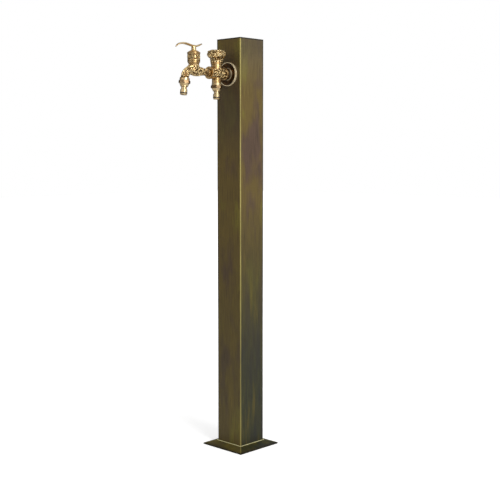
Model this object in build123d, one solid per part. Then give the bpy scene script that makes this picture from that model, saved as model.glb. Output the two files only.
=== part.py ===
from build123d import *
import os
from math import cos, radians, sin, sqrt, tan

# Garden standpipe: a square steel column with a double tap, in millimetres.
# The origin is the centre of the foot on the ground, +Z is up and the tap reaches out towards -Y.
# Heights on the tap are measured from its level axis, and reach is measured outwards from the column.

# Clearances that every joint shares
running_gap = 0.05
guide_gap = 0.1
slip_gap = 0.3
cut_over = 1

# Column and lid
column_side = 80
column_height = 1000
column_wall = 2
column_corner = 2
column_inner_corner = 0.8
lid_thickness = 2
lid_skirt_depth = 12
lid_skirt_wall = 1.5
tap_drop = 85

# Foot: a welded plate under a sloping cover that slips over the column
plate_margin = 14
plate_thickness = 3
plate_corner = 6
bolt_edge = 7
bolt_hole_radius = 3.5
supply_hole_radius = 20
weld_leg = 2.5
cover_margin = 12
cover_rim = 3
cover_rise = 7.5
cover_sheet = 1.5

# Half inch pipe thread and the supply inside the column
thread_radius = 10.478
screw_depth = 11
port_slack = 1
nipple_bore = 7.5
riser_step = 0.17
riser_wall = 2.3
elbow_reach = 22
elbow_wall = 3
elbow_band_wall = 1.5
elbow_band_length = 8
socket_base = 1
socket_wall = 2.9
socket_length = 34
socket_hex_wall = 4.4
socket_hex_height = 8
inlet_radius = 9.3
inlet_depth = 14
grommet_lip = 3
grommet_thickness = 2
lock_nut_wall = 4.5
lock_nut_thickness = 7
lock_washer_wall = 6
lock_washer_thickness = 1.5

# Wall flange
flange_radius = 28
flange_height = 12
flange_hub_wall = 3
flange_rim_height = 5
flange_rim_width = 1.2
flange_web = 1.8

# Tee: the body of the rear valve
tee_rear_arm = 27.8
tee_front_arm = 25.2
barrel_wall = 3.27
collar_step = 0.9
collar_length = 4
waterway_radius = 6.5
front_thread_radius = 8.331
neck_wall = 3.4
neck_rise = 20.7
chamber_radius = 9.2
seat_step = 0.3
seat_thickness = 3
head_room = 1
seat_radius = 5.2
outlet_neck_step = 0.42
outlet_neck_drop = 24
outlet_tail = 9.5
outlet_bore = 6

# Rear valve: screw-down headwork with a jumper that rises from the seat
head_thread_radius = 9.35
head_hex_wall = 0.15
head_hex_height = 5
head_gland_wall = 2.45
head_gland_height = 7.5
gasket_thickness = 1
gasket_width = 1.3
jumper_lift = 5
jumper_side_gap = 1.9
jumper_washer_thickness = 3
carrier_flange = 2
carrier_flats = 12
carrier_length = 14.2
carrier_floor = 2.5
spindle_radius = 4
spindle_collar_step = 1.8
spindle_collar = 2
seal_groove_depth = 1.1
seal_groove_height = 1.8
clip_groove_depth = 0.8
clip_thickness = 0.8
clip_width = 2.6
drive_side = 5.6
knob_drive_length = 9
pin_screw_radius = 1.5
pin_screw_head_radius = 2.9
pin_screw_head = 1.7

# Knob of the rear valve
knob_radius = 21.3
knob_skirt_wall = 2
knob_skirt_gap = 0.85
knob_web = 2.5
knob_button_radius = 9
knob_button_thickness = 1.8
knob_screw_radius = 2
knob_screw_length = 7
knob_screw_head_radius = 3.6
knob_screw_head = 2.4
knob_screw_room = 2.2
knob_skirt_share = 0.26
knob_bead_share = 0.33
knob_crown_shares = ((0.66, 0.4), (0.88, 0.52), (1, 0.68), (0.97, 0.84), (0.9, 0.93), (0.66, 1))

# Hose nozzle, used under the tee and under the spout
nozzle_ring_wall = 1.17
nozzle_ring_length = 4.1
nozzle_nut_wall = 2.07
nozzle_nut_length = 6.8
nozzle_nut_sides = 8
nozzle_washer_thickness = 2
nozzle_washer_bore = 6.5
nozzle_taper_length = 5.6
nozzle_stop_radius = 9
nozzle_stop_length = 1.6
nozzle_catch_radius = 6.6
nozzle_catch_length = 6.4
nozzle_land_radius = 8.3
nozzle_land_length = 7
nozzle_seal_depth = 1.3
nozzle_seal_length = 2.2
nozzle_seal_step = 0.2
nozzle_tip_length = 3.4
nozzle_tip_chamfer = 0.8
nozzle_bore = 5

# Front valve body, a spout that swells under the bonnet and turns down
body_ring_step = 0.4
body_ring_length = 5
body_girth = 11
body_run = 68.5
body_rise_angle = 2.2
bonnet_run = 42.4
bend_radius = 17.5
bend_girth = 8.5
outlet_tilt = 6.5
outlet_length = 4.5
spout_collar_step = 0.7
spout_collar_length = 2
inlet_bore = 4.3
inlet_fall = 3
spout_bore = 4.2
bend_drill_rise = 1.5
body_neck_wall = 2.6
body_neck_rise = 21.3
body_neck_collar_step = 1.6
body_neck_collar = 2.4
body_neck_foot_share = 0.9
body_web_girth = 8.3
body_web_drop = 10
body_web_start = 4
spout_web_rise = 12.3
tee_web_rise = 11
shelf_port_radius = 4.2
shelf_rise = 3
body_run_shares = (0.168, 0.25, 0.35, 0.47, 0.56, 0.64, 0.72)
body_girth_shares = (0.718, 0.8, 0.9, 0.98, 1, 0.94, 0.86)

# Quarter turn cartridge with two ceramic discs
cartridge_barrel_gap = 1.45
cartridge_thread_length = 5.8
disc_radius = 6.85
disc_thickness = 3
disc_port_radius = 1.7
disc_port_share = 0.56
disc_seal_thickness = 2.2
disc_seal_width = 2.2
window_height = 3.2
window_width = 5
spindle_bar_width = 3.2
spindle_tongue = 1.2
cartridge_collar = 1.8
cartridge_hex_height = 4
cartridge_hex_wall = 0.6
cartridge_sleeve_wall = 3.95

# Bonnet and lever of the front valve
bonnet_wall = 2.7
bonnet_room = 0.65
bonnet_height = 23
bonnet_ring = 2.4
bonnet_ring_gap = 0.8
bonnet_band_step = 0.7
bonnet_top_ring = 4.4
bonnet_web = 4.8
sleeve_top_gap = 1.3
lever_bell_radius = 11.5
lever_bell_edge = 1.4
lever_bell_height = 5.5
lever_stem_radius = 5.5
lever_blade_rise = 13.9
lever_reach = 55.1
lever_tail = 25.8
lever_thickness = 4.3
lever_width = 13
lever_edge_share = 0.3
lever_drive_length = 9
lever_screw_radius = 2
lever_screw_length = 3.4
lever_run_shares = (-1, -0.86, -0.67, -0.48, -0.28, -0.1, 0.08, 0.28, 0.55, 0.86, 1)
lever_rise_shares = (-0.38, 0.05, 0.26, 0.27, 0.15, 0.03, 0, 0.01, 0.14, 0.37, 0.47)
lever_width_shares = (0.2, 0.62, 0.95, 1, 0.9, 0.74, 0.68, 0.72, 0.76, 0.58, 0.22)
lever_thickness_shares = (0.42, 0.72, 0.92, 1, 1, 1.05, 1.1, 1, 0.84, 0.66, 0.42)

# Places that follow from the sizes above
column_half = column_side / 2
tap_height = column_height - tap_drop
plate_side = column_side + 2 * plate_margin
bolt_spacing = plate_side - 2 * bolt_edge
cover_side = plate_side + 2 * cover_margin
cover_opening = column_side + 2 * slip_gap
cover_top = cover_rim + cover_rise
thread_port = thread_radius + running_gap
riser_radius = thread_radius + riser_step
riser_port = riser_radius + running_gap
tee_rear = flange_height
tee_axis = tee_rear + tee_rear_arm
tee_front = tee_axis + tee_front_arm
barrel_radius = thread_port + barrel_wall
front_port = front_thread_radius + running_gap
head_port = head_thread_radius + running_gap
seat_top = -(waterway_radius + seat_step)
jumper_rest = seat_top + guide_gap
carrier_base = jumper_rest + jumper_washer_thickness
carrier_top = carrier_base + carrier_length
spindle_base = carrier_base + carrier_floor + jumper_lift + slip_gap
spindle_collar_base = carrier_top + jumper_lift + slip_gap
head_shoulder = spindle_collar_base + spindle_collar + running_gap
head_hex_base = neck_rise + gasket_thickness
head_base = waterway_radius + head_room
head_hex_radius = (head_port + head_hex_wall) / cos(radians(30))
head_gland_base = head_hex_base + head_hex_height
head_top = head_gland_base + head_gland_height
spindle_port = spindle_radius + running_gap
clip_base = head_top + running_gap
knob_drive_base = clip_base + clip_thickness + slip_gap
knob_drive_top = knob_drive_base + knob_drive_length
knob_base = neck_rise + slip_gap
knob_web_top = knob_drive_top + slip_gap + knob_web
knob_button_base = knob_web_top + knob_screw_head + knob_screw_room
knob_top = knob_button_base + knob_button_thickness
front_axis = tee_front + body_ring_length + bonnet_run
disc_base = shelf_rise + disc_seal_thickness
disc_middle = disc_base + disc_thickness
disc_top = disc_middle + disc_thickness
disc_room = disc_radius + running_gap
window_top = disc_top + window_height
cartridge_shoulder = window_top + cartridge_collar + running_gap
cartridge_hex_top = body_neck_rise + cartridge_hex_height
bonnet_top = body_neck_rise + bonnet_height
bonnet_inner = (head_port + cartridge_hex_wall) / cos(radians(30)) + bonnet_room
sleeve_radius = spindle_port + cartridge_sleeve_wall
sleeve_top = bonnet_top - sleeve_top_gap
lever_base = bonnet_top + slip_gap
lever_level = bonnet_top + lever_blade_rise
lever_drive_base = sleeve_top + slip_gap
lever_drive_top = lever_base + lever_drive_length


def rod(radius, low, high):
    """A round rod about the upright axis, between two heights."""
    return Pos(0, 0, low) * extrude(Circle(radius), high - low)


def ring(outer, inner, low, high):
    """A plain ring about the upright axis, between two heights."""
    return Pos(0, 0, low) * extrude(Circle(outer) - Circle(inner), high - low)


def hexagon_bar(corner_radius, low, high):
    """A hexagonal bar about the upright axis, between two heights."""
    return Pos(0, 0, low) * extrude(RegularPolygon(corner_radius, 6), high - low)


def square_bar(side, low, high):
    """A square bar about the upright axis, between two heights."""
    return Pos(0, 0, low) * extrude(Rectangle(side, side), high - low)


def square_block(side, corner, low, high):
    """A square block with rounded upright edges, between two heights."""
    return Pos(0, 0, low) * extrude(RectangleRounded(side, side, corner), high - low)


def turned(*corners):
    """A solid turned about the upright axis from its corners, each a radius and a height."""
    outline = Polyline(*[(radius, 0, height) for radius, height in corners], close=True)
    return revolve(make_face(outline), Axis.Z)


def on_column(shape):
    """Turns a piece made about +Z to point outwards from the column along the tap's level axis."""
    return Pos(0, -column_half, tap_height) * Rot(90, 0, 0) * shape


def over_tap(reach, shape):
    """Puts a piece made about an upright axis at this reach along the tap."""
    return Pos(0, -column_half - reach, tap_height) * shape


def tap_place(reach, rise):
    """A point in the tap's plane of symmetry."""
    return Vector(0, -column_half - reach, tap_height + rise)


# Column, lid and foot

def column_tube():
    top = column_height - lid_thickness
    inner_side = column_side - 2 * column_wall
    tube = square_block(column_side, column_corner, plate_thickness, top)
    hollow = square_block(inner_side, column_inner_corner, plate_thickness - cut_over, top + cut_over)
    tap_hole = on_column(rod(thread_radius + slip_gap, -column_wall - cut_over, cut_over))
    return tube - hollow - tap_hole


def column_lid():
    under = column_height - lid_thickness
    skirt_side = column_side - 2 * column_wall - 2 * slip_gap
    inner_side = skirt_side - 2 * lid_skirt_wall
    skirt_base = under - lid_skirt_depth
    lid = square_block(column_side, column_corner, under, column_height)
    lid += square_block(skirt_side, column_corner, skirt_base, under)
    return lid - square_bar(inner_side, skirt_base - cut_over, under)


def anchor_plate():
    plate = square_block(plate_side, plate_corner, 0, plate_thickness)
    plate -= rod(supply_hole_radius, -cut_over, plate_thickness + cut_over)
    hole = rod(bolt_hole_radius, -cut_over, plate_thickness + cut_over)
    for place in GridLocations(bolt_spacing, bolt_spacing, 2, 2):
        plate -= place * hole
    return plate


def slope_block(low_side, low, high_side, high):
    """A square block whose four sides lean in evenly from one height to another."""
    outline = Polyline(
        (-low_side / 2, 0, low), (low_side / 2, 0, low), (high_side / 2, 0, high),
        (-high_side / 2, 0, high), close=True,
    )
    across = extrude(make_face(outline), low_side, both=True)
    return across & (Rot(0, 0, 90) * across)


def foot_weld():
    top = plate_thickness + weld_leg
    bead = slope_block(column_side + 2 * weld_leg, plate_thickness, column_side, top)
    return bead - square_block(column_side, column_corner, 0, cover_top)


def foot_cover():
    slope = cover_rise / ((cover_side - cover_opening) / 2)
    sheet_drop = cover_sheet * sqrt(1 + slope**2)
    inner_side = cover_side - 2 * cover_sheet
    inner_rim = cover_rim + slope * cover_sheet - sheet_drop
    shell = square_bar(cover_side, 0, cover_rim)
    shell += slope_block(cover_side, cover_rim, cover_opening, cover_top)
    shell -= square_bar(inner_side, -cut_over, inner_rim)
    shell -= slope_block(inner_side, inner_rim, cover_opening, cover_top - sheet_drop)
    return shell - square_bar(cover_opening, -cut_over, cover_top + cut_over)


# Supply pipe inside the column

def inlet_grommet():
    hole_fit = supply_hole_radius - running_gap
    lip = supply_hole_radius + grommet_lip
    bore = thread_port + socket_wall + running_gap
    return turned(
        (bore, socket_base), (hole_fit, socket_base), (hole_fit, plate_thickness), (lip, plate_thickness),
        (lip, plate_thickness + grommet_thickness), (bore, plate_thickness + grommet_thickness),
    )


def inlet_socket():
    top = socket_base + socket_length
    middle = socket_base + (socket_length - socket_hex_height) / 2
    hex_radius = (thread_port + socket_hex_wall) / cos(radians(30))
    socket = rod(thread_port + socket_wall, socket_base, top)
    socket += hexagon_bar(hex_radius, middle, middle + socket_hex_height)
    socket -= rod(inlet_radius, socket_base - cut_over, socket_base + inlet_depth)
    socket -= rod(nipple_bore, socket_base, top)
    return socket - rod(riser_port, top - screw_depth, top + cut_over)


def riser_pipe():
    low = socket_base + socket_length - screw_depth
    high = tap_height - elbow_reach + screw_depth
    return ring(riser_radius, riser_radius - riser_wall, low, high)


def elbow_arms(radius, length):
    """Two round arms, one down and one outwards, that meet in a mitre at the elbow's centre."""
    down = rod(radius, -length, 0)
    outwards = Rot(90, 0, 0) * rod(radius, 0, length)
    corner = rod(radius, 0, radius) & (Rot(90, 0, 0) * rod(radius, -radius, 0))
    return down + outwards + corner


def wall_elbow():
    arm_radius = riser_port + elbow_wall
    band = rod(arm_radius + elbow_band_wall, elbow_reach - elbow_band_length, elbow_reach)
    seat = elbow_reach - screw_depth
    elbow = elbow_arms(arm_radius, elbow_reach) + Rot(180, 0, 0) * band + Rot(90, 0, 0) * band
    elbow -= elbow_arms(nipple_bore, elbow_reach)
    elbow -= Rot(180, 0, 0) * rod(riser_port, seat, elbow_reach + cut_over)
    elbow -= Rot(90, 0, 0) * rod(thread_port, seat, elbow_reach + cut_over)
    return Pos(0, 0, tap_height) * elbow


def wall_nipple():
    inner_end = elbow_reach - screw_depth - column_half
    return on_column(ring(thread_radius, nipple_bore, inner_end, tee_rear + screw_depth))


def lock_washer():
    face = -column_wall
    outer = thread_port + lock_washer_wall
    return on_column(ring(outer, thread_port, face - lock_washer_thickness, face))


def lock_nut():
    face = -column_wall - lock_washer_thickness
    corner_radius = (thread_port + lock_nut_wall) / cos(radians(30))
    nut = hexagon_bar(corner_radius, face - lock_nut_thickness, face)
    return on_column(nut - rod(thread_port, face - lock_nut_thickness - cut_over, face + cut_over))


def wall_flange():
    hub = thread_port + flange_hub_wall
    rim_inner = flange_radius - flange_rim_width
    dish = rim_inner - hub
    return on_column(turned(
        (thread_port, 0), (flange_radius, 0), (flange_radius, flange_rim_height),
        (rim_inner, flange_rim_height), (rim_inner - dish / 4, flange_web + flange_rim_width),
        (hub + dish / 2, flange_web), (hub + dish / 6, flange_web + flange_rim_width),
        (hub, flange_rim_height), (hub, flange_height), (thread_port, flange_height),
    ))


# Tee and rear valve

def tee_body():
    collar = barrel_radius + collar_step
    outlet_neck = thread_radius + outlet_neck_step
    barrel = turned(
        (0, tee_rear), (collar, tee_rear), (collar, tee_rear + collar_length),
        (barrel_radius, tee_rear + collar_length + collar_step),
        (barrel_radius, tee_front - collar_length - collar_step), (collar, tee_front - collar_length),
        (collar, tee_front), (0, tee_front),
    )
    upright = rod(head_port + neck_wall, 0, neck_rise)
    upright += rod(outlet_neck, -outlet_neck_drop, 0)
    upright += rod(thread_radius, -outlet_neck_drop - outlet_tail, -outlet_neck_drop)
    level_bores = rod(thread_port, tee_rear - cut_over, tee_rear + screw_depth + port_slack)
    level_bores += rod(waterway_radius, tee_rear, tee_front)
    level_bores += rod(front_port, tee_front - screw_depth - port_slack, tee_front + cut_over)
    upright_bores = rod(head_port, head_base, neck_rise + cut_over)
    upright_bores += rod(chamber_radius, seat_top, head_base)
    upright_bores += rod(seat_radius, seat_top - seat_thickness, seat_top)
    outlet_end = -outlet_neck_drop - outlet_tail - cut_over
    upright_bores += rod(outlet_bore, outlet_end, seat_top - seat_thickness)
    body = on_column(barrel) + over_tap(tee_axis, upright)
    return body - on_column(level_bores) - over_tap(tee_axis, upright_bores)


def rear_headwork():
    outer = rod(head_thread_radius, head_base, head_hex_base)
    outer += hexagon_bar(head_hex_radius, head_hex_base, head_gland_base)
    outer += rod(spindle_port + head_gland_wall, head_gland_base, head_top)
    guide_corner = (carrier_flats / 2 + guide_gap) / cos(radians(30))
    guide = hexagon_bar(guide_corner, head_base - cut_over, head_shoulder)
    return over_tap(tee_axis, outer - guide - rod(spindle_port, head_shoulder, head_top + cut_over))


def headwork_gasket():
    return over_tap(tee_axis, ring(head_port + gasket_width, head_port, neck_rise, head_hex_base))


def rear_spindle():
    collar = spindle_radius + spindle_collar_step
    groove = spindle_radius - seal_groove_depth
    clip_groove = spindle_radius - clip_groove_depth
    clip_top = clip_base + clip_thickness + running_gap
    spindle = turned(
        (0, spindle_base), (spindle_radius, spindle_base), (spindle_radius, spindle_collar_base),
        (collar, spindle_collar_base), (collar, spindle_collar_base + spindle_collar),
        (spindle_radius, spindle_collar_base + spindle_collar), (spindle_radius, head_gland_base),
        (groove, head_gland_base), (groove, head_gland_base + seal_groove_height),
        (spindle_radius, head_gland_base + seal_groove_height), (spindle_radius, head_top),
        (clip_groove, head_top), (clip_groove, clip_top), (spindle_radius, clip_top),
        (spindle_radius, knob_drive_base), (0, knob_drive_base),
    )
    spindle += square_bar(drive_side, knob_drive_base, knob_drive_top)
    screw_end = knob_web_top - knob_screw_length - guide_gap
    return over_tap(tee_axis, spindle - rod(knob_screw_radius, screw_end, knob_drive_top + cut_over))


def seal_ring(low):
    """The rubber ring in a spindle's seal groove."""
    return ring(spindle_radius, spindle_radius - seal_groove_depth, low, low + seal_groove_height)


def spindle_clip():
    inner = spindle_radius - clip_groove_depth
    clip = ring(inner + clip_width, inner, clip_base, clip_base + clip_thickness)
    mouth = Pos(0, spindle_radius, clip_base) * Box(
        2 * clip_groove_depth, 2 * spindle_radius, 2 * clip_thickness + cut_over
    )
    return over_tap(tee_axis, clip - mouth)


def jumper_carrier():
    flange = chamber_radius - jumper_side_gap
    corner_radius = carrier_flats / 2 / cos(radians(30))
    carrier = rod(flange, carrier_base, carrier_base + carrier_flange)
    carrier += hexagon_bar(corner_radius, carrier_base, carrier_top)
    carrier -= rod(spindle_port, carrier_base + carrier_floor, carrier_top + cut_over)
    return over_tap(tee_axis, carrier - rod(pin_screw_radius, carrier_base - cut_over, carrier_top))


def jumper_washer():
    outer = chamber_radius - jumper_side_gap
    return over_tap(tee_axis, ring(outer, pin_screw_radius, jumper_rest, carrier_base))


def jumper_screw():
    screw = rod(pin_screw_head_radius, jumper_rest - pin_screw_head, jumper_rest)
    screw += rod(pin_screw_radius, jumper_rest, carrier_base + carrier_floor)
    return over_tap(tee_axis, screw)


def rear_knob():
    skirt_inner = head_hex_radius + knob_skirt_gap
    skirt = skirt_inner + knob_skirt_wall
    height = knob_top - knob_base
    crown = [(share * knob_radius, knob_base + rise * height) for share, rise in knob_crown_shares]
    bead = skirt + knob_skirt_wall / 3
    knob = turned(
        (0, knob_base), (skirt, knob_base), (skirt, knob_base + knob_skirt_share * height),
        (bead, knob_base + knob_bead_share * height), *crown, (0, knob_top),
    )
    gland_room = spindle_port + head_gland_wall + slip_gap
    knob -= rod(skirt_inner, knob_base - cut_over, head_gland_base + slip_gap)
    knob -= rod(gland_room, knob_base, knob_drive_base)
    knob -= square_bar(drive_side + 2 * running_gap, knob_base, knob_drive_top + slip_gap)
    knob -= rod(knob_screw_radius + guide_gap, knob_base, knob_top)
    knob -= rod(knob_screw_head_radius + slip_gap, knob_web_top, knob_top)
    knob -= rod(knob_button_radius + guide_gap, knob_button_base, knob_top + cut_over)
    return over_tap(tee_axis, knob)


def knob_screw():
    screw = rod(knob_screw_head_radius, knob_web_top, knob_web_top + knob_screw_head)
    screw += rod(knob_screw_radius, knob_web_top - knob_screw_length, knob_web_top)
    return over_tap(tee_axis, screw)


def knob_button():
    return over_tap(tee_axis, rod(knob_button_radius, knob_button_base, knob_top))


# Hose nozzle, made with its mouth at height zero and its tip down

nozzle_nut_low = -nozzle_ring_length - nozzle_nut_length
nozzle_seat = -outlet_tail - nozzle_washer_thickness
nozzle_stop = nozzle_nut_low - nozzle_taper_length
nozzle_catch = nozzle_stop - nozzle_stop_length
nozzle_land = nozzle_catch - nozzle_catch_length
nozzle_seal = nozzle_land - nozzle_land_length
nozzle_tip = nozzle_seal - nozzle_seal_length


def nozzle():
    ring_radius = thread_port + nozzle_ring_wall
    nut = thread_port + nozzle_nut_wall
    seal = nozzle_land_radius - nozzle_seal_depth
    end = nozzle_tip - nozzle_tip_length
    body = turned(
        (thread_port, 0), (ring_radius, 0), (ring_radius, nozzle_nut_low),
        (nozzle_stop_radius, nozzle_stop), (nozzle_stop_radius, nozzle_catch),
        (nozzle_catch_radius, nozzle_catch), (nozzle_catch_radius, nozzle_land),
        (nozzle_land_radius, nozzle_land), (nozzle_land_radius, nozzle_seal), (seal, nozzle_seal),
        (seal, nozzle_tip), (nozzle_land_radius, nozzle_tip),
        (nozzle_land_radius - nozzle_tip_chamfer, end),
        (nozzle_bore, end), (nozzle_bore, nozzle_seat), (thread_port, nozzle_seat),
    )
    corner = nut / cos(radians(180 / nozzle_nut_sides))
    chamfer = corner - nut
    nut_top = -nozzle_ring_length
    flats = extrude(RegularPolygon(corner, nozzle_nut_sides), nozzle_nut_length)
    flats = Pos(0, 0, nozzle_nut_low) * flats & turned(
        (thread_port, nozzle_nut_low), (nut, nozzle_nut_low), (corner, nozzle_nut_low + chamfer),
        (corner, nut_top - chamfer), (nut, nut_top), (thread_port, nut_top),
    )
    return body + flats


def nozzle_washer():
    return ring(thread_radius, nozzle_washer_bore, nozzle_seat, -outlet_tail)


def nozzle_seal_ring():
    inner = nozzle_land_radius - nozzle_seal_depth
    return ring(nozzle_land_radius + nozzle_seal_step, inner, nozzle_tip, nozzle_seal)


def under_tee(shape):
    """Screws a nozzle piece onto the tail under the tee."""
    return over_tap(tee_axis, Pos(0, 0, -outlet_neck_drop) * shape)


def along_body(shape):
    """Lays a piece made about +Z along the front body's gently rising line."""
    return on_column(Pos(0, 0, tee_front + body_ring_length) * Rot(-body_rise_angle, 0, 0) * shape)


def bend_turn():
    """The angle through which the spout turns down, in degrees."""
    return 90 + body_rise_angle - outlet_tilt


def bend_start():
    """Where the bend leaves the body's line, measured along it."""
    return body_run - bend_radius * tan(radians(bend_turn() / 2))


def spout_bend(radius):
    """The turned-down tube, with this radius, from the body's line to the outlet's line."""
    section = Pos(0, 0, bend_start()) * Circle(radius)
    hinge = Axis((0, -bend_radius, bend_start()), (1, 0, 0))
    return along_body(revolve(section, hinge, bend_turn()))


def on_bend(angle, radius):
    """A place this far round the bend, in degrees, and this far from the bend's centre."""
    turn = radians(angle)
    along = bend_start() + radius * sin(turn)
    below = bend_radius - radius * cos(turn)
    rise = radians(body_rise_angle)
    reach = tee_front + body_ring_length + along * cos(rise) + below * sin(rise)
    return tap_place(reach, along * sin(rise) - below * cos(rise))


def outlet_mouth():
    """The spout's end face, on the outlet's tilted axis."""
    tilt = radians(outlet_tilt)
    down = Vector(0, -sin(tilt), -cos(tilt))
    return on_bend(bend_turn(), bend_radius) + down * outlet_length


def under_spout(shape):
    """Screws a piece, made with its mouth at height zero and its tip down, onto the spout's tail."""
    return Pos(*outlet_mouth()) * Rot(-outlet_tilt, 0, 0) * shape


# Front valve

def front_body():
    swell_shares = zip(body_girth_shares, body_run_shares)
    swell = [(body_girth * girth, body_run * run) for girth, run in swell_shares]
    body = along_body(turned(
        (0, -body_ring_length / 2), (swell[0][0], -body_ring_length / 2), *swell,
        (bend_girth, bend_start()), (0, bend_start()),
    ))
    body += spout_bend(bend_girth)
    ring_end = tee_front + body_ring_length
    body += on_column(rod(front_thread_radius, tee_front - screw_depth, tee_front))
    body += on_column(rod(front_port + body_ring_step, tee_front, ring_end))
    spout_collar = thread_radius + spout_collar_step
    collar_top = spout_collar_length + spout_collar_step
    body += under_spout(turned(
        (0, outlet_length), (bend_girth, outlet_length), (bend_girth, collar_top),
        (spout_collar, spout_collar_length), (spout_collar, 0), (thread_radius, 0),
        (thread_radius, -outlet_tail), (0, -outlet_tail),
    ))
    neck = head_port + body_neck_wall
    neck_collar = neck + body_neck_collar_step
    collar_base = body_neck_rise - body_neck_collar
    body += over_tap(front_axis, turned(
        (0, 0), (body_neck_foot_share * neck, 0), (neck, body_neck_rise / 2),
        (neck, collar_base - body_neck_collar_step), (neck_collar, collar_base),
        (neck_collar, body_neck_rise), (0, body_neck_rise),
    ))
    body += neck_web(1, spout_web_rise) + neck_web(-1, tee_web_rise)
    return body - front_waterways()


def neck_web(side, rise):
    """The round web that carries the neck's foot down into the body, towards the spout or the tee."""
    start = tap_place(front_axis + side * body_web_start, rise)
    end = tap_place(front_axis + side * (body_web_start + body_web_drop), rise - body_web_drop)
    return slanted_rod(start, end, body_web_girth)


def slanted_rod(start, end, radius):
    """A round rod or drilling between two places."""
    return Plane(start, (1, 0, 0), end - start) * extrude(Circle(radius), (end - start).length)


def front_waterways():
    start = tap_place(tee_front - screw_depth - cut_over, 0)
    inlet = slanted_rod(start, tap_place(front_axis, -inlet_fall), inlet_bore)
    port = rod(shelf_port_radius, -inlet_fall - inlet_bore / 2, shelf_rise)
    chamber = rod(head_port, shelf_rise, body_neck_rise + cut_over)
    side = tap_place(front_axis + head_port - cut_over, shelf_rise + spout_bore)
    crown = on_bend(bend_turn() / 2, bend_radius + bend_drill_rise)
    outlet = under_spout(rod(spout_bore, -outlet_tail - cut_over, outlet_length))
    slopes = slanted_rod(side, crown, spout_bore) + slanted_rod(crown, outlet_mouth(), spout_bore)
    return inlet + over_tap(front_axis, port + chamber) + outlet + slopes


def cartridge_body():
    barrel = head_port - cartridge_barrel_gap
    thread_base = body_neck_rise - cartridge_thread_length
    hex_radius = (head_port + cartridge_hex_wall) / cos(radians(30))
    outer = rod(barrel, shelf_rise, thread_base)
    outer += rod(head_thread_radius, thread_base, body_neck_rise)
    outer += hexagon_bar(hex_radius, body_neck_rise, cartridge_hex_top)
    outer += rod(sleeve_radius, cartridge_hex_top, sleeve_top)
    outer -= rod(disc_room, shelf_rise - cut_over, cartridge_shoulder)
    outer -= rod(spindle_port, cartridge_shoulder, sleeve_top + cut_over)
    window = Pos(0, 0, (disc_top + window_top) / 2) * Box(4 * head_port, window_width, window_height)
    return over_tap(front_axis, outer - window)


def cartridge_seal():
    return over_tap(front_axis, ring(disc_radius, disc_radius - disc_seal_width, shelf_rise, disc_base))


def disc_ports(low, high, angle):
    """The two round ports through a ceramic disc, in a line at this angle about the axis."""
    offset = disc_port_share * disc_radius
    port = rod(disc_port_radius, low - cut_over, high + cut_over)
    pair = Pos(offset, 0, 0) * port + Pos(-offset, 0, 0) * port
    return Rot(0, 0, angle) * pair


def fixed_disc():
    disc = rod(disc_radius, disc_base, disc_middle)
    return over_tap(front_axis, disc - disc_ports(disc_base, disc_middle, 0))


def turning_disc():
    disc = rod(disc_radius, disc_middle, disc_top)
    disc -= disc_ports(disc_middle, disc_top, 90)
    slot_width = spindle_bar_width + 2 * guide_gap
    slot = Pos(0, 0, disc_top) * Box(4 * disc_radius, slot_width, 2 * spindle_tongue + 2 * guide_gap)
    return over_tap(front_axis, disc - slot)


def cartridge_spindle():
    bar_height = window_height + spindle_tongue
    bar = Pos(0, 0, disc_top - spindle_tongue + bar_height / 2) * Box(
        2 * disc_radius, spindle_bar_width, bar_height
    )
    bar &= rod(disc_radius, 0, window_top)
    groove = spindle_radius - seal_groove_depth
    groove_top = cartridge_hex_top + seal_groove_height
    shaft = turned(
        (0, window_top), (disc_radius, window_top), (disc_radius, window_top + cartridge_collar),
        (spindle_radius, window_top + cartridge_collar), (spindle_radius, cartridge_hex_top),
        (groove, cartridge_hex_top), (groove, groove_top), (spindle_radius, groove_top),
        (spindle_radius, lever_drive_base), (0, lever_drive_base),
    )
    drive = square_bar(drive_side, lever_drive_base, lever_drive_top)
    return over_tap(front_axis, bar + shaft + drive)


def front_bonnet():
    outer = bonnet_inner + bonnet_wall
    band = outer - bonnet_band_step
    ring_groove = outer - bonnet_ring_gap
    second = body_neck_rise + bonnet_ring + bonnet_ring_gap
    third = second + bonnet_ring
    fourth = bonnet_top - bonnet_top_ring
    bonnet = turned(
        (0, body_neck_rise), (outer, body_neck_rise), (outer, body_neck_rise + bonnet_ring),
        (ring_groove, body_neck_rise + bonnet_ring), (ring_groove, second), (outer, second),
        (outer, third), (band, third + bonnet_band_step), (band, fourth - bonnet_band_step),
        (outer, fourth), (outer, bonnet_top - bonnet_ring_gap), (outer - bonnet_ring_gap, bonnet_top),
        (0, bonnet_top),
    )
    bonnet -= rod(bonnet_inner, body_neck_rise - cut_over, bonnet_top - bonnet_web)
    bonnet -= rod(sleeve_radius + running_gap, bonnet_top - bonnet_web, sleeve_top + running_gap)
    spindle_room = spindle_port + slip_gap
    return over_tap(front_axis, bonnet - rod(spindle_room, sleeve_top, bonnet_top + cut_over))


def lever_section(place, heading, width, thickness):
    """A crowned blade section: an arc over and an arc under, with narrow upright sides."""
    half = width / 2
    side = lever_edge_share * thickness / 2
    edges = [
        ThreePointArc((-half, side), (0, thickness / 2), (half, side)),
        Line((half, side), (half, -side)),
        ThreePointArc((half, -side), (0, -thickness / 2), (-half, -side)),
        Line((-half, -side), (-half, side)),
    ]
    return Plane(place, (1, 0, 0), heading) * make_face(edges)


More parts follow.
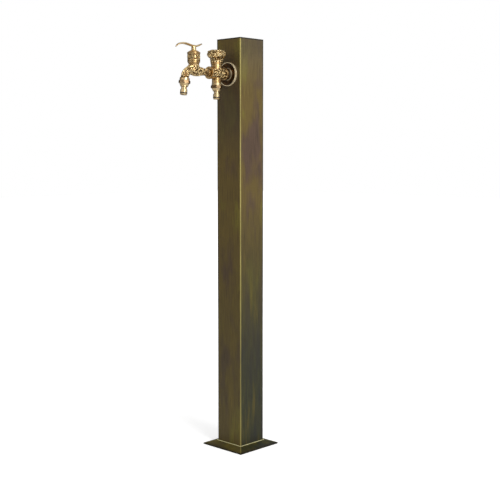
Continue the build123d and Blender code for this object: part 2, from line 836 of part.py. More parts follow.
def lever_blade():
    places = []
    for run, rise in zip(lever_run_shares, lever_rise_shares):
        reach = front_axis - run * (lever_tail if run > 0 else lever_reach)
        places.append(tap_place(reach, lever_level + rise * lever_blade_rise))
    sections = []
    for index, place in enumerate(places):
        heading = places[min(index + 1, len(places) - 1)] - places[max(index - 1, 0)]
        width = lever_width_shares[index] * lever_width
        thickness = lever_thickness_shares[index] * lever_thickness
        sections.append(lever_section(place, heading, width, thickness))
    return loft(sections, ruled=True)


def lever():
    bell_top = lever_base + lever_bell_height
    knee = (lever_bell_radius + 2 * lever_stem_radius) / 3
    stem = turned(
        (0, lever_base), (lever_bell_radius, lever_base), (lever_bell_radius, lever_base + lever_bell_edge),
        (knee, lever_base + (lever_bell_edge + lever_bell_height) / 2), (lever_stem_radius, bell_top),
        (lever_stem_radius, lever_level), (0, lever_level),
    )
    stem -= square_bar(drive_side + 2 * running_gap, lever_base - cut_over, lever_drive_top + slip_gap)
    return over_tap(front_axis, stem - lever_screw_hole()) + lever_blade()


def lever_screw_hole():
    start = drive_side / 2 + running_gap
    hole = rod(lever_screw_radius + running_gap, start - cut_over, lever_bell_radius + cut_over)
    return Pos(0, 0, lever_screw_level()) * Rot(-90, 0, 0) * hole


def lever_screw_level():
    return (lever_base + lever_bell_height + lever_drive_top) / 2


def lever_screw():
    start = drive_side / 2 + running_gap
    screw = Rot(-90, 0, 0) * rod(lever_screw_radius, start, start + lever_screw_length)
    return over_tap(front_axis, Pos(0, 0, lever_screw_level()) * screw)


pieces = {
    "column_tube": column_tube(),
    "column_lid": column_lid(),
    "anchor_plate": anchor_plate(),
    "foot_weld": foot_weld(),
    "foot_cover": foot_cover(),
    "inlet_grommet": inlet_grommet(),
    "inlet_socket": inlet_socket(),
    "riser_pipe": riser_pipe(),
    "wall_elbow": wall_elbow(),
    "wall_nipple": wall_nipple(),
    "lock_washer": lock_washer(),
    "lock_nut": lock_nut(),
    "wall_flange": wall_flange(),
    "tee_body": tee_body(),
    "rear_headwork": rear_headwork(),
    "headwork_gasket": headwork_gasket(),
    "rear_spindle": rear_spindle(),
    "spindle_seal": over_tap(tee_axis, seal_ring(head_gland_base)),
    "spindle_clip": spindle_clip(),
    "jumper_carrier": jumper_carrier(),
    "jumper_washer": jumper_washer(),
    "jumper_screw": jumper_screw(),
    "rear_knob": rear_knob(),
    "knob_screw": knob_screw(),
    "knob_button": knob_button(),
    "tee_nozzle": under_tee(nozzle()),
    "tee_nozzle_washer": under_tee(nozzle_washer()),
    "tee_nozzle_seal": under_tee(nozzle_seal_ring()),
    "front_body": front_body(),
    "cartridge_body": cartridge_body(),
    "cartridge_seal": cartridge_seal(),
    "fixed_disc": fixed_disc(),
    "turning_disc": turning_disc(),
    "cartridge_spindle": cartridge_spindle(),
    "cartridge_spindle_seal": over_tap(front_axis, seal_ring(cartridge_hex_top)),
    "front_bonnet": front_bonnet(),
    "lever": lever(),
    "lever_screw": lever_screw(),
    "spout_nozzle": under_spout(nozzle()),
    "spout_nozzle_washer": under_spout(nozzle_washer()),
    "spout_nozzle_seal": under_spout(nozzle_seal_ring()),
}

os.makedirs("parts", exist_ok=True)
for node, piece in pieces.items():
    export_step(piece, f"parts/{node}.step")
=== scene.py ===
from math import atan2, copysign, cos, inf, pi, radians, sin

import bmesh
import bpy
import numpy as np
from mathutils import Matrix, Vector
from mathutils.bvhtree import BVHTree


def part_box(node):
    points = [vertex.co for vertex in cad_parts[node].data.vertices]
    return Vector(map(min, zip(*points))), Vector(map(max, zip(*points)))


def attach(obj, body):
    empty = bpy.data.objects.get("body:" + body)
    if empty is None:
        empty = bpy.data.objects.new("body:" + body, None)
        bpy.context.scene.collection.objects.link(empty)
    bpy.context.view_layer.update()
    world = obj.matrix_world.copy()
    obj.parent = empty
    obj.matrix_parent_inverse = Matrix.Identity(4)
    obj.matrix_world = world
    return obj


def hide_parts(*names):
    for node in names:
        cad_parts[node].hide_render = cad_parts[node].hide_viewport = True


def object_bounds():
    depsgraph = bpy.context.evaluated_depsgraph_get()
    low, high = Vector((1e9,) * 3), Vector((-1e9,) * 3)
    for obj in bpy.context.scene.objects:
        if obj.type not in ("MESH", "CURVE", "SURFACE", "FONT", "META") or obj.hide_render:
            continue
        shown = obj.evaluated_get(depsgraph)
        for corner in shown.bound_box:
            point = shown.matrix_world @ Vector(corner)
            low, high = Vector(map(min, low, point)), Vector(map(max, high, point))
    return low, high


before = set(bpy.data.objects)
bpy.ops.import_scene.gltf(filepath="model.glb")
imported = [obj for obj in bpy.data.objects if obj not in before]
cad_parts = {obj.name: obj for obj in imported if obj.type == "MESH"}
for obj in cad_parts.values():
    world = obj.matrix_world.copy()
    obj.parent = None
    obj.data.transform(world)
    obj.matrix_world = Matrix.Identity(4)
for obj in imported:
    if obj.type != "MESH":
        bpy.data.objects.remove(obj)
cad_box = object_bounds()

# Garden standpipe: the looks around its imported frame, in metres. The tap reaches out towards -Y.
MM = 0.001
UP = Vector((0, 0, 1))


def middle(node):
    """The centre of a CAD node's box."""
    low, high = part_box(node)
    return (low + high) / 2


# Places read from the frame
TAP_LEVEL = middle("wall_nipple").z
KNOB_Y = middle("knob_button").y
LEVER_Y = middle("turning_disc").y
TEE_LOW, TEE_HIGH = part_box("tee_body")
TEE_MID_Y = (TEE_LOW.y + TEE_HIGH.y) / 2
COLUMN_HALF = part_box("column_tube")[1].x
COVER_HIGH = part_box("foot_cover")[1]
KNOB_LOW, KNOB_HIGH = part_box("rear_knob")
BONNET_LOW, BONNET_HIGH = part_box("front_bonnet")

# Front body's line: a straight run that rises gently, then the bend down to the outlet
BODY_START_Y = TEE_LOW.y - 5 * MM
BODY_RISE = radians(2.2)
BODY_BEND_START = 52.3 * MM
BODY_BEND_RADIUS = 17.5 * MM
BODY_GIRTH = 10 * MM
BODY_VOXEL = 0.5 * MM

# Middle of the lever's blade, measured from its stem, and how near two points are one
BLADE_MIDDLE = -14.6 * MM
TOUCHING = 0.001 * MM

# Camera, found from the column's edges and the foot in the photograph
CAMERA_DISTANCE = 2.38
CAMERA_HEIGHT = 0.727
CAMERA_AZIMUTH = radians(44.72)
LOOK_AZIMUTH = radians(44.15)
LOOK_DOWN = radians(5.7)
CAMERA_LENS = 69.8
CAMERA_SENSOR = 36


def paint(red, green, blue):
    """A screen colour, 0 to 255, as the linear colour that a shader takes."""
    def linear(value):
        share = value / 255
        return share / 12.92 if share <= 0.04045 else ((share + 0.055) / 1.055) ** 2.4
    return (linear(red), linear(green), linear(blue), 1)


class Value:
    """A node's output, which adds, subtracts and multiplies like a number."""

    def __init__(self, nodes, socket):
        self.nodes = nodes
        self.socket = socket

    def __add__(self, other):
        return self.nodes.math("ADD", self, other)

    def __sub__(self, other):
        return self.nodes.math("SUBTRACT", self, other)

    def __rsub__(self, other):
        return self.nodes.math("SUBTRACT", other, self)

    def __mul__(self, other):
        return self.nodes.math("MULTIPLY", self, other)

    def __abs__(self):
        return self.nodes.math("ABSOLUTE", self)


class Nodes:
    """The node tree of a new material or world, with short ways to add nodes to it."""

    def __init__(self, name, owners=bpy.data.materials):
        self.owner = owners.new(name)
        self.owner.use_nodes = True
        self.tree = self.owner.node_tree
        self.shader = self.tree.nodes.get("Principled BSDF")

    def join(self, value, socket):
        """Feeds a socket with a node's output or with a fixed value."""
        if isinstance(value, Value):
            self.tree.links.new(value.socket, socket)
        else:
            socket.default_value = value

    def add(self, kind, inputs=(), output=0, **settings):
        """A new node's output; its inputs are pairs of a socket's name or place and what feeds it."""
        node = self.tree.nodes.new("ShaderNode" + kind)
        for key, value in settings.items():
            setattr(node, key, value)
        for key, value in inputs:
            self.join(value, node.inputs[key])
        return Value(self, node.outputs[output])

    def noise(self, scale, detail, roughness=0.55):
        """Noise whose grain is 1 / scale millimetres, with one scale or one for each axis."""
        scales = scale if isinstance(scale, tuple) else (scale, scale, scale)
        where = self.add("TexCoord", output="Object")
        spread = self.add("Mapping", [("Vector", where), ("Scale", [s / MM for s in scales])])
        return self.add("TexNoise", [("Vector", spread), ("Scale", 1), ("Detail", detail),
                                     ("Roughness", roughness)], "Fac")

    def ramp(self, factor, *stops):
        """A colour ramp whose stops are each a place from 0 to 1 and a colour or a grey."""
        ramp = self.add("ValToRGB", [("Fac", factor)], "Color")
        elements = ramp.socket.node.color_ramp.elements
        while len(elements) < len(stops):
            elements.new(0.5)
        for element, (place, colour) in zip(elements, stops):
            element.position = place
            element.color = colour if isinstance(colour, tuple) else (colour, colour, colour, 1)
        return ramp

    def math(self, operation, *values):
        return self.add("Math", enumerate(values), operation=operation)

    def mix(self, factor, first, second, blend="MIX"):
        """Mixes two colours, each a value or a fixed colour."""
        return self.add("Mix", [(0, factor), (6, first), (7, second)], 2,
                        data_type="RGBA", blend_type=blend)

    def scaled(self, colour, factor):
        """A colour made brighter or darker by a factor."""
        return self.add("VectorMath", [(0, colour), ("Scale", factor)], operation="SCALE")

    def fade(self, value, low, high, top=1.0):
        """0 below low, top above high and smooth between them."""
        return self.add("MapRange", [("Value", value), ("From Min", low), ("From Max", high),
                                     ("To Max", top)], interpolation_type="SMOOTHSTEP")

    def near(self, value, centre, low, high):
        """1 near a centre and 0 away from it, fading out between two distances."""
        return 1 - self.fade(abs(value - centre), low, high)

    def axes(self, space="Object"):
        """The three coordinates, in metres where they are the object's."""
        where = self.add("TexCoord", output=space)
        return [self.add("SeparateXYZ", [(0, where)], axis) for axis in "XYZ"]

    def distance(self, first, second):
        """How far two coordinates lie from their common zero."""
        return self.math("SQRT", first * first + second * second)

    def corner(self, reach=3 * MM, low=0.45, high=0.9):
        """1 deep in a corner and 0 in the open, over a reach."""
        open_share = self.add("AmbientOcclusion", [("Distance", reach)], "AO", samples=8)
        return 1 - self.ramp(open_share, (low, 0.0), (high, 1.0))

    def bump(self, height, strength, distance):
        normal = self.add("Bump", [("Height", height), ("Strength", strength), ("Distance", distance)],
                          "Normal")
        self.join(normal, self.shader.inputs["Normal"])

    def either(self, share, first, second):
        """The first shader, or the second by a share."""
        return self.add("MixShader", [(0, share), (1, first), (2, second)])

    def ray(self, kind):
        """1 for rays of a kind, such as those of the camera."""
        return self.add("LightPath", output=kind)

    def finish(self, colour, roughness, metallic):
        for value, name in ((colour, "Base Color"), (roughness, "Roughness"), (metallic, "Metallic")):
            self.join(value, self.shader.inputs[name])
        return self.owner


# Colours
BRONZE_DARK = paint(54, 44, 28)
BRONZE_MID = paint(98, 81, 38)
BRONZE_OLIVE = paint(108, 97, 36)
BRONZE_PURPLE = paint(82, 64, 50)
BRONZE_GREY = paint(98, 87, 66)
BRONZE_GREEN = paint(66, 69, 36)
BRONZE_SLATE = paint(50, 54, 44)
# Pale bronze of rubbed edges, also used as a painted highlight.
BRONZE_WORN_HIGHLIGHT = paint(178, 165, 94)
BRONZE_RIM = paint(34, 30, 20)
# Colours of the seam bead, pale enough to stand as a painted highlight.
SEAM_DULL = paint(216, 208, 146)
SEAM_PALE = paint(242, 236, 184)
BRASS_PALE = paint(232, 209, 164)
# Pale of the flange's rim, a painted highlight.
FLANGE_RIM_HIGHLIGHT = paint(246, 232, 196)
BRASS_GOLD = paint(202, 166, 112)
BRASS_TARNISH = paint(180, 144, 94)
CREST_GOLD = paint(214, 180, 122)
CREST_PALE = paint(244, 220, 168)
BRASS_BROWN = paint(96, 68, 39)
BRASS_DARK = paint(48, 35, 22)
BRASS_MID = paint(128, 97, 58)
LEVER_PALE = paint(230, 204, 154)
LEVER_DULL = paint(206, 172, 116)
LEVER_TIP = paint(132, 100, 58)
NUT_PALE = paint(152, 128, 95)
NUT_RED = paint(118, 92, 66)
INNER_PALE = paint(226, 196, 134)
INNER_DULL = paint(206, 170, 108)
FLOOR_DULL = paint(242, 242, 242)
FLOOR_PALE = paint(246, 246, 246)
WARM_TINT = (1, 0.97, 0.72, 1)


def column_paint():
    """Brushed antique bronze: long upright streaks, cloudy patches, painted light and shade by face and
    height, two corners pale where rubbed and as a painted highlight, and painted shade on the other two.
    """
    n = Nodes("column_bronze")
    x, y, z = n.axes()
    cloud = n.noise((0.018, 0.018, 0.006), 3)
    streak = n.noise((0.7, 0.7, 0.02), 4, 0.6)
    fine = n.noise((2.6, 2.6, 0.35), 3, 0.6)
    patch = n.noise((0.06, 0.06, 0.007), 4)
    base = n.ramp(cloud, (0.36, BRONZE_PURPLE), (0.47, BRONZE_MID), (0.55, BRONZE_MID),
                  (0.64, BRONZE_OLIVE))
    low = n.ramp(patch, (0.4, BRONZE_SLATE), (0.54, BRONZE_GREEN), (0.68, BRONZE_OLIVE))
    side = n.fade(x, COLUMN_HALF - 0.8 * MM, COLUMN_HALF - 0.2 * MM)
    down = 1 - n.fade(z, 0.1, 0.7)
    colour = n.mix(down * (side * 0.65 + 0.3), base, low)
    colour = n.mix(n.fade(z, 0.86, 0.99) * (side * 0.6), colour, BRONZE_GREY)
    colour = n.mix(1 - side, colour, WARM_TINT, "MULTIPLY")
    # Painted shade: a band high on the left face is turned purple-brown and darkened.
    painted_shade = n.fade(z, 0.7, 0.82) * (1 - n.fade(z, 0.94, 0.985)) * (1 - side)
    colour = n.mix(painted_shade * 0.45, colour, BRONZE_PURPLE)
    upper = n.fade(z, 0.46, 0.64) * (1 - n.fade(z, 0.93, 0.985))
    lower = 1 - n.fade(z, 0.08, 0.46)
    # Painted light and shade: the +X face is brightened in its upper part and darkened towards the bottom,
    # and the left face's high band is darkened.
    glow = side * (upper * 0.36 - lower * 0.34 - 0.14) - painted_shade * 0.36
    colour = n.scaled(colour, glow + 1.14)
    colour = n.mix(n.fade(streak, 0.42, 0.72) * 0.62, colour, BRONZE_DARK)
    colour = n.mix(0.75, colour, n.ramp(fine, (0.3, 0.7), (0.5, 1.0), (0.72, 1.3)), "MULTIPLY")
    # Pale corners: rubbed metal and a painted highlight, as a lit rounded edge shows.
    worn_and_highlit = n.fade(abs(x - y), 2 * COLUMN_HALF - 2.4 * MM, 2 * COLUMN_HALF - 1.6 * MM)
    # Painted shade: the two corners seen edge-on are darkened, as dark reflections; the top line is the
    # lid's dark joint.
    painted_dark_corner = n.fade(abs(x + y), 2 * COLUMN_HALF - 4.4 * MM, 2 * COLUMN_HALF - 2.6 * MM)
    top = n.fade(z, 0.9968, 0.9976) * (1 - n.fade(z, 0.9997, 0.9999))
    wear_and_highlight = worn_and_highlit * n.ramp(patch, (0.3, 0.45), (0.6, 0.95)) * (down * -0.35 + 1)
    colour = n.mix(wear_and_highlight, colour, BRONZE_WORN_HIGHLIGHT)
    colour = n.mix(n.math("MAXIMUM", painted_dark_corner, top) * 0.97, colour, BRONZE_RIM)
    n.bump(streak + fine * 0.5, 0.25, 0.4 * MM)
    return n.finish(colour, n.ramp(streak, (0.3, 0.46), (0.7, 0.64)), 0.25)


def cover_paint():
    """The column's bronze on the foot cover, with painted shade on its right half, hips pale where rubbed
    and as a painted highlight, and a dark rim.
    """
    n = Nodes("cover_bronze")
    x, y, z = n.axes()
    patch = n.noise(0.04, 4)
    grain = n.noise(0.8, 5, 0.7)
    base = n.ramp(patch, (0.35, BRONZE_SLATE), (0.5, BRONZE_GREEN), (0.68, BRONZE_OLIVE))
    # Painted light and shade: the cover's right half is darkened and its left half made a little lighter
    # and browner.
    right = n.fade(x + y, -1 * MM, 1 * MM)
    base = n.mix((1 - right) * 0.5, base, BRONZE_MID)
    base = n.scaled(base, right * -0.6 + 1.06)
    colour = n.mix(n.fade(grain, 0.5, 0.75), base, BRONZE_DARK)
    # Hips: pale where rubbed, and a painted highlight along each hip.
    hip = n.near(abs(x), abs(y), 0.4 * MM, 1.6 * MM)
    colour = n.mix(hip * 0.6, colour, BRONZE_WORN_HIGHLIGHT)
    reach = n.math("MAXIMUM", abs(x), abs(y))
    outer = n.fade(reach, COVER_HIGH.x - 11 * MM, COVER_HIGH.x) * 0.55
    below_rim = (1 - n.fade(z, 2.8 * MM, 3.4 * MM)) * 0.95
    colour = n.mix(n.math("MAXIMUM", outer, below_rim), colour, BRONZE_RIM)
    n.bump(grain, 0.3, 0.4 * MM)
    n.join(0.15, n.shader.inputs["Specular IOR Level"])
    return n.finish(colour, n.ramp(grain, (0.3, 0.62), (0.7, 0.78)), 0.15)


def seam_pale_highlight():
    """The bead along the cover's upper edge: pale where rubbed, and painted pale as a highlight line."""
    n = Nodes("seam_pale_highlight")
    return n.finish(n.ramp(n.noise(0.3, 3), (0.35, SEAM_DULL), (0.6, SEAM_PALE)), 0.45, 0.0)


def polished(n, colour, roughness, patina):
    """Ends a smooth brass finish: a fine grain, and brown in the corners by a share of patina."""
    fine = n.noise(2.2, 3)
    colour = n.mix(n.corner() * patina, colour, BRASS_DARK)
    n.bump(fine, 0.12, 0.2 * MM)
    return n.finish(colour, fine * 0.16 + roughness, 1.0)


def plain_brass(name, light, dark):
    """Brass with soft cloudy tarnish, for the fittings inside."""
    n = Nodes(name)
    return polished(n, n.ramp(n.noise(0.12, 4), (0.3, dark), (0.55, light), (0.8, light)), 0.17, 0.3)


def lever_paint():
    """The lever's polished brass, browned towards the two tips of its blade."""
    n = Nodes("lever_brass")
    x, y, z = n.axes()
    colour = n.ramp(n.noise(0.12, 4), (0.3, LEVER_DULL), (0.55, LEVER_PALE))
    reach = abs(y - (LEVER_Y + BLADE_MIDDLE))
    colour = n.mix(n.fade(reach, 26 * MM, 41 * MM) * 0.75, colour, LEVER_TIP)
    return polished(n, colour, 0.24, 0.5)


def relief_brass():
    """Raised ornament: gold on the crests and dark brown where it meets the ground."""
    n = Nodes("relief_brass")
    height = n.add("Attribute", output="Fac", attribute_name="relief")
    gold = n.ramp(n.noise(0.3, 3), (0.35, CREST_GOLD), (0.65, CREST_PALE))
    colour = n.mix(n.fade(height, 0.12, 0.72), BRASS_DARK, gold)
    return n.finish(colour, n.ramp(height, (0.1, 0.55), (0.8, 0.26)), 1.0)


def ground_brass(name, sunk):
    """Brass with a ground sunk between raised work, by the share that sunk gives."""
    n = Nodes(name)
    cloud = n.noise(0.16, 4)
    corner = n.corner(3.2 * MM, 0.55, 0.97)
    plain = n.ramp(cloud, (0.3, BRASS_TARNISH), (0.5, BRASS_GOLD), (0.7, BRASS_PALE))
    plain = n.mix(corner * 0.85, plain, BRASS_DARK)
    brown = n.ramp(cloud, (0.35, BRASS_BROWN), (0.65, BRASS_MID))
    brown = n.mix(corner * 0.95, brown, BRASS_DARK)
    depth = sunk(n, *n.axes())
    n.bump(n.noise(1.6, 2) * (depth * 0.8 + 0.2), 0.35, 0.4 * MM)
    return n.finish(n.mix(depth, plain, brown), depth * 0.22 + 0.3, 1.0)


def tee_sunk(n, x, y, z):
    """The tee's panels: both sides of its barrel between the collars."""
    along = n.near(y, TEE_MID_Y, 20.8 * MM, 21.6 * MM)
    up = n.near(z, TAP_LEVEL, 9.8 * MM, 10.8 * MM)
    return along * up * n.fade(abs(x), 7.5 * MM, 8.5 * MM)


def body_sunk(n, x, y, z):
    """The front body below the neck's plain top and past the ring that meets the tee."""
    below = 1 - n.fade(z, TAP_LEVEL + 14.5 * MM, TAP_LEVEL + 16.5 * MM)
    past = 1 - n.fade(y, BODY_START_Y - 0.5 * MM, BODY_START_Y + 0.5 * MM)
    spout = n.fade(z, TAP_LEVEL - 16.5 * MM, TAP_LEVEL - 14.5 * MM)
    return below * past * spout


def bonnet_sunk(n, x, y, z):
    """The bonnet's band between its rings, and the groove between the two lower rings."""
    above = n.fade(z, BONNET_LOW.z + 5.8 * MM, BONNET_LOW.z + 6.4 * MM)
    below = 1 - n.fade(z, BONNET_LOW.z + 17.8 * MM, BONNET_LOW.z + 18.4 * MM)
    groove = n.near(z, BONNET_LOW.z + 2.8 * MM, 0.4 * MM, 0.8 * MM)
    return n.math("MAXIMUM", above * below, groove)


def knob_sunk(n, x, y, z):
    """The knob's carved crown and leafy collar, above its plain skirt."""
    return n.fade(z, KNOB_LOW.z + 3 * MM, KNOB_LOW.z + 5 * MM)


def worn_metal(name, light, dark, roughness, metallic):
    """A plain metal or painted finish with fine grain and cloudy tone."""
    n = Nodes(name)
    fine = n.noise(2.5, 2)
    n.bump(fine, 0.1, 0.2 * MM)
    colour = n.ramp(n.noise(0.1, 4), (0.3, paint(*dark)), (0.7, paint(*light)))
    return n.finish(colour, fine * 0.2 + (roughness - 0.1), metallic)


def flange_brass():
    """The wall flange: a thin rim painted bright as a highlight, round a dark dish."""
    n = Nodes("flange_brass")
    x, y, z = n.axes()
    radius = n.distance(x, z - TAP_LEVEL)
    # Painted highlight: the rim is pale and less metallic, so it shows bright all round.
    rim = n.fade(radius, 26.3 * MM, 26.8 * MM)
    hub = (1 - n.fade(radius, 13.5 * MM, 16 * MM)) * 0.4
    cloud = n.noise(0.2, 4)
    dish = n.ramp(cloud, (0.35, BRASS_DARK), (0.7, BRASS_BROWN))
    bright = n.ramp(cloud, (0.3, BRASS_PALE), (0.6, FLANGE_RIM_HIGHLIGHT))
    colour = n.mix(n.math("MAXIMUM", rim, hub), dish, bright)
    return n.finish(colour, n.ramp(cloud, (0.3, 0.28), (0.7, 0.42)), rim * -0.6 + 1)


# Nut of a nozzle: its upper and lower face, measured from the middle of the washer towards the seal
NUT_TOP = -6.4 * MM
NUT_LOW = 0.4 * MM


def nozzle_brass(nozzle):
    """A hose nozzle: pale brass with a reddish nut, placed along the line from its washer to its seal."""
    n = Nodes(nozzle + "_brass")
    start = middle(nozzle + "_washer")
    down = (middle(nozzle + "_seal") - start).normalized()
    x, y, z = n.axes()
    along = (y - start.y) * down.y + (z - start.z) * down.z
    below = n.fade(along, NUT_TOP - 0.1 * MM, NUT_TOP + 0.1 * MM)
    above = 1 - n.fade(along, NUT_LOW - 0.1 * MM, NUT_LOW + 0.1 * MM)
    cloud = n.noise(0.14, 4)
    pale = n.ramp(cloud, (0.3, BRASS_GOLD), (0.6, BRASS_PALE))
    red = n.ramp(cloud, (0.35, NUT_RED), (0.65, NUT_PALE))
    return polished(n, n.mix(below * above, pale, red), 0.24, 0.85)


lever_brass = lever_paint()
relief = relief_brass()
body_ground = ground_brass("body_ground", body_sunk)
bonnet_ground = ground_brass("bonnet_ground", bonnet_sunk)
knob_ground = ground_brass("knob_ground", knob_sunk)
screw_steel = worn_metal("screw_steel", (214, 214, 212), (190, 190, 190), 0.3, 1.0)
rubber = worn_metal("seal_rubber", (38, 37, 36), (24, 23, 23), 0.7, 0.0)

FINISHES = {
    column_paint(): ["column_tube", "column_lid"],
    cover_paint(): ["foot_cover"],
    worn_metal("plate_steel", (92, 86, 66), (62, 58, 44), 0.5, 0.5): ["anchor_plate", "foot_weld"],
    worn_metal("pipe_steel", (206, 208, 208), (168, 172, 174), 0.42, 1.0): [
        "inlet_socket", "riser_pipe", "wall_elbow"],
    plain_brass("inner_brass", INNER_PALE, INNER_DULL): [
        "wall_nipple", "lock_nut", "rear_headwork", "rear_spindle", "jumper_carrier", "cartridge_body",
        "cartridge_spindle"],
    screw_steel: ["lock_washer", "spindle_clip", "jumper_screw", "knob_screw", "lever_screw"],
    rubber: ["inlet_grommet", "headwork_gasket", "spindle_seal", "jumper_washer", "tee_nozzle_washer",
             "tee_nozzle_seal", "cartridge_seal", "cartridge_spindle_seal", "spout_nozzle_washer",
             "spout_nozzle_seal"],
    worn_metal("disc_ceramic", (244, 242, 236), (232, 229, 220), 0.25, 0.0): ["fixed_disc", "turning_disc"],
    flange_brass(): ["wall_flange"],
    ground_brass("tee_ground", tee_sunk): ["tee_body"],
    bonnet_ground: ["front_bonnet"],
    body_ground: ["front_body"],
    knob_ground: ["rear_knob"],
    nozzle_brass("tee_nozzle"): ["tee_nozzle"],
    nozzle_brass("spout_nozzle"): ["spout_nozzle"],
    lever_brass: ["lever"],
    worn_metal("disc_bronze", (70, 60, 48), (34, 29, 24), 0.4, 0.8): ["knob_button"],
}
for material, nodes in FINISHES.items():
    for node in nodes:
        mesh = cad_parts[node].data
        mesh.materials.clear()
        mesh.materials.append(material)


def add_object(name, data):
    """A new object of the scene round a mesh, a lamp or a camera."""
    holder = bpy.data.objects.new(name, data)
    bpy.context.scene.collection.objects.link(holder)
    return holder


def ride_piece(name, mesh, material, body):
    """A smooth piece of the object that rides on a body."""
    mesh.polygons.foreach_set("use_smooth", [True] * len(mesh.polygons))
    mesh.materials.clear()
    mesh.materials.append(material)
    piece = add_object(name, mesh)
    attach(piece, body)
    return piece


def new_piece(name, points, faces, material, body):
    """A piece made from points and faces."""
    mesh = bpy.data.meshes.new(name)
    mesh.from_pydata([tuple(p) for p in points], [], faces)
    mesh.update()
    return ride_piece(name, mesh, material, body)


def relax(mesh, passes, hold=None):
    """Smooths a mesh without shrinking it; hold gives each point's share of the movement."""
    count = len(mesh.vertices)
    points = np.empty(count * 3)
    mesh.vertices.foreach_get("co", points)
    points = points.reshape(-1, 3)
    edges = np.empty(len(mesh.edges) * 2, np.int64)
    mesh.edges.foreach_get("vertices", edges)
    first, second = edges.reshape(-1, 2).T
    degree = np.bincount(first, minlength=count) + np.bincount(second, minlength=count)
    share = np.ones(count) if hold is None else hold(points)
    for step in range(2 * passes):
        total = np.zeros_like(points)
        for axis in range(3):
            total[:, axis] += np.bincount(first, points[second, axis], count)
            total[:, axis] += np.bincount(second, points[first, axis], count)
        pull = 0.5 if step % 2 == 0 else -0.52
        points += (total / degree[:, None] - points) * (pull * share)[:, None]
    mesh.vertices.foreach_set("co", points.ravel())
    mesh.update()


def casting(node, name, voxel, passes, material, body, hold=None, shape=None):
    """A softened copy of a CAD node, or of a given shape, that stands for the node as cast."""
    source = add_object(name + "_source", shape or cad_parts[node].data.copy())
    weld = source.modifiers.new("weld", "WELD")
    weld.merge_threshold = TOUCHING
    remesh = source.modifiers.new("remesh", "REMESH")
    remesh.mode = "VOXEL"
    remesh.voxel_size = voxel
    graph = bpy.context.evaluated_depsgraph_get()
    mesh = bpy.data.meshes.new_from_object(source.evaluated_get(graph))
    bpy.data.objects.remove(source)
    mesh.name = name
    relax(mesh, passes, hold)
    piece = ride_piece(name, mesh, material, body)
    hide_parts(node)
    return piece


def tree_of(piece):
    """A search tree over a piece's faces."""
    mesh = piece.data
    points = [v.co.copy() for v in mesh.vertices]
    return BVHTree.FromPolygons(points, [p.vertices[:] for p in mesh.polygons])


# Strokes: raised lines and leaves, in mm, each a strip whose sides sink a little into the surface under it
STROKE_STEP = 0.45
STROKE_SINK = 0.15
STROKE_ROOT = 0.5
CROSS = np.linspace(-1, 1, 7)


def smooth_line(corners, step=STROKE_STEP):
    """Points at even steps along a smooth curve through given corners."""
    corners = np.array(corners, float)
    ends = np.vstack([2 * corners[0] - corners[1], corners, 2 * corners[-1] - corners[-2]])
    fine = []
    for a, b, c, d in zip(ends, ends[1:], ends[2:], ends[3:]):
        for t in np.linspace(0, 1, 12, endpoint=False):
            fine.append(0.5 * (2 * b + (c - a) * t + (2 * a - 5 * b + 4 * c - d) * t**2
                               + (3 * b - a - 3 * c + d) * t**3))
    fine = np.array(fine + [ends[-2]])
    return even_steps(fine, step)


def even_steps(line, step):
    """The same line with its points at even steps."""
    lengths = np.r_[0, np.cumsum(np.linalg.norm(np.diff(line, axis=0), axis=1))]
    count = max(4, int(lengths[-1] / step))
    where = np.linspace(0, lengths[-1], count)
    return np.stack([np.interp(where, lengths, line[:, axis]) for axis in range(line.shape[1])], axis=1)


def spiral(centre, start, turns, end_share, angle, hand):
    """A curl that winds in from radius start about its centre."""
    t = np.linspace(0, 1, int(40 * turns) + 8)
    radius = start * (end_share ** t)
    turn = angle + hand * 2 * pi * turns * t
    return np.stack([centre[0] + radius * np.cos(turn), centre[1] + radius * np.sin(turn)], axis=1)


def stem(line, width, height=None, tip=0.35):
    """A round raised stem along a line, thinning towards both ends."""
    line = even_steps(np.array(line, float), STROKE_STEP)
    t = np.linspace(0, 1, len(line))
    swell = tip + (1 - tip) * np.sin(np.pi * np.clip(t, 0.02, 0.98)) ** 0.5
    crown = np.sqrt(1 - CROSS**2)
    return {"line": line, "half": width / 2 * swell, "rise": (height or width / 2) * swell, "crown": crown}


def leaf(line, width, height, lobes=3):
    """A veined leaf along a line, with lobed edges and a pointed tip."""
    line = even_steps(np.array(line, float), STROKE_STEP)
    t = np.linspace(0, 1, len(line))
    outline = np.sin(np.pi * np.clip(t, 0, 1) ** 0.75) ** 0.7
    outline *= 1 + 0.16 * np.sin(2 * np.pi * lobes * t)
    crown = np.sqrt(1 - CROSS**2) * (1 - 0.45 * np.exp(-((CROSS / 0.22) ** 2)))
    half = np.maximum(width / 2 * outline, 0.12)
    return {"line": line, "half": half, "rise": height * (0.35 + 0.65 * outline), "crown": crown}


def curled(root, heading, length, bend):
    """A line that leaves a point in a heading and turns steadily through bend, both in radians."""
    t = np.linspace(0, 1, 14)
    turn = heading + bend * t**1.2
    steps = np.stack([np.cos(turn), np.sin(turn)], axis=1) * length / len(t)
    return np.vstack([root, root + np.cumsum(steps, axis=0)])


def vine(corners, width, leaf_gap, leaf_length, leaf_width, height=0.8, first=1):
    """A stem with leaves that spring from its two sides in turn and curl back over it."""
    line = smooth_line(corners)
    strokes = [stem(line, width, height)]
    every = max(2, int(leaf_gap / STROKE_STEP))
    side = first
    for index in range(every // 2, len(line) - every // 3, every):
        ahead = line[min(index + 1, len(line) - 1)] - line[index - 1]
        heading = atan2(ahead[1], ahead[0])
        size = 1 - 0.35 * index / len(line)
        path = curled(line[index], heading + side * 0.9, leaf_length * size, -side * 1.5)
        strokes.append(leaf(path, leaf_width * size, height))
        side = -side
    return strokes


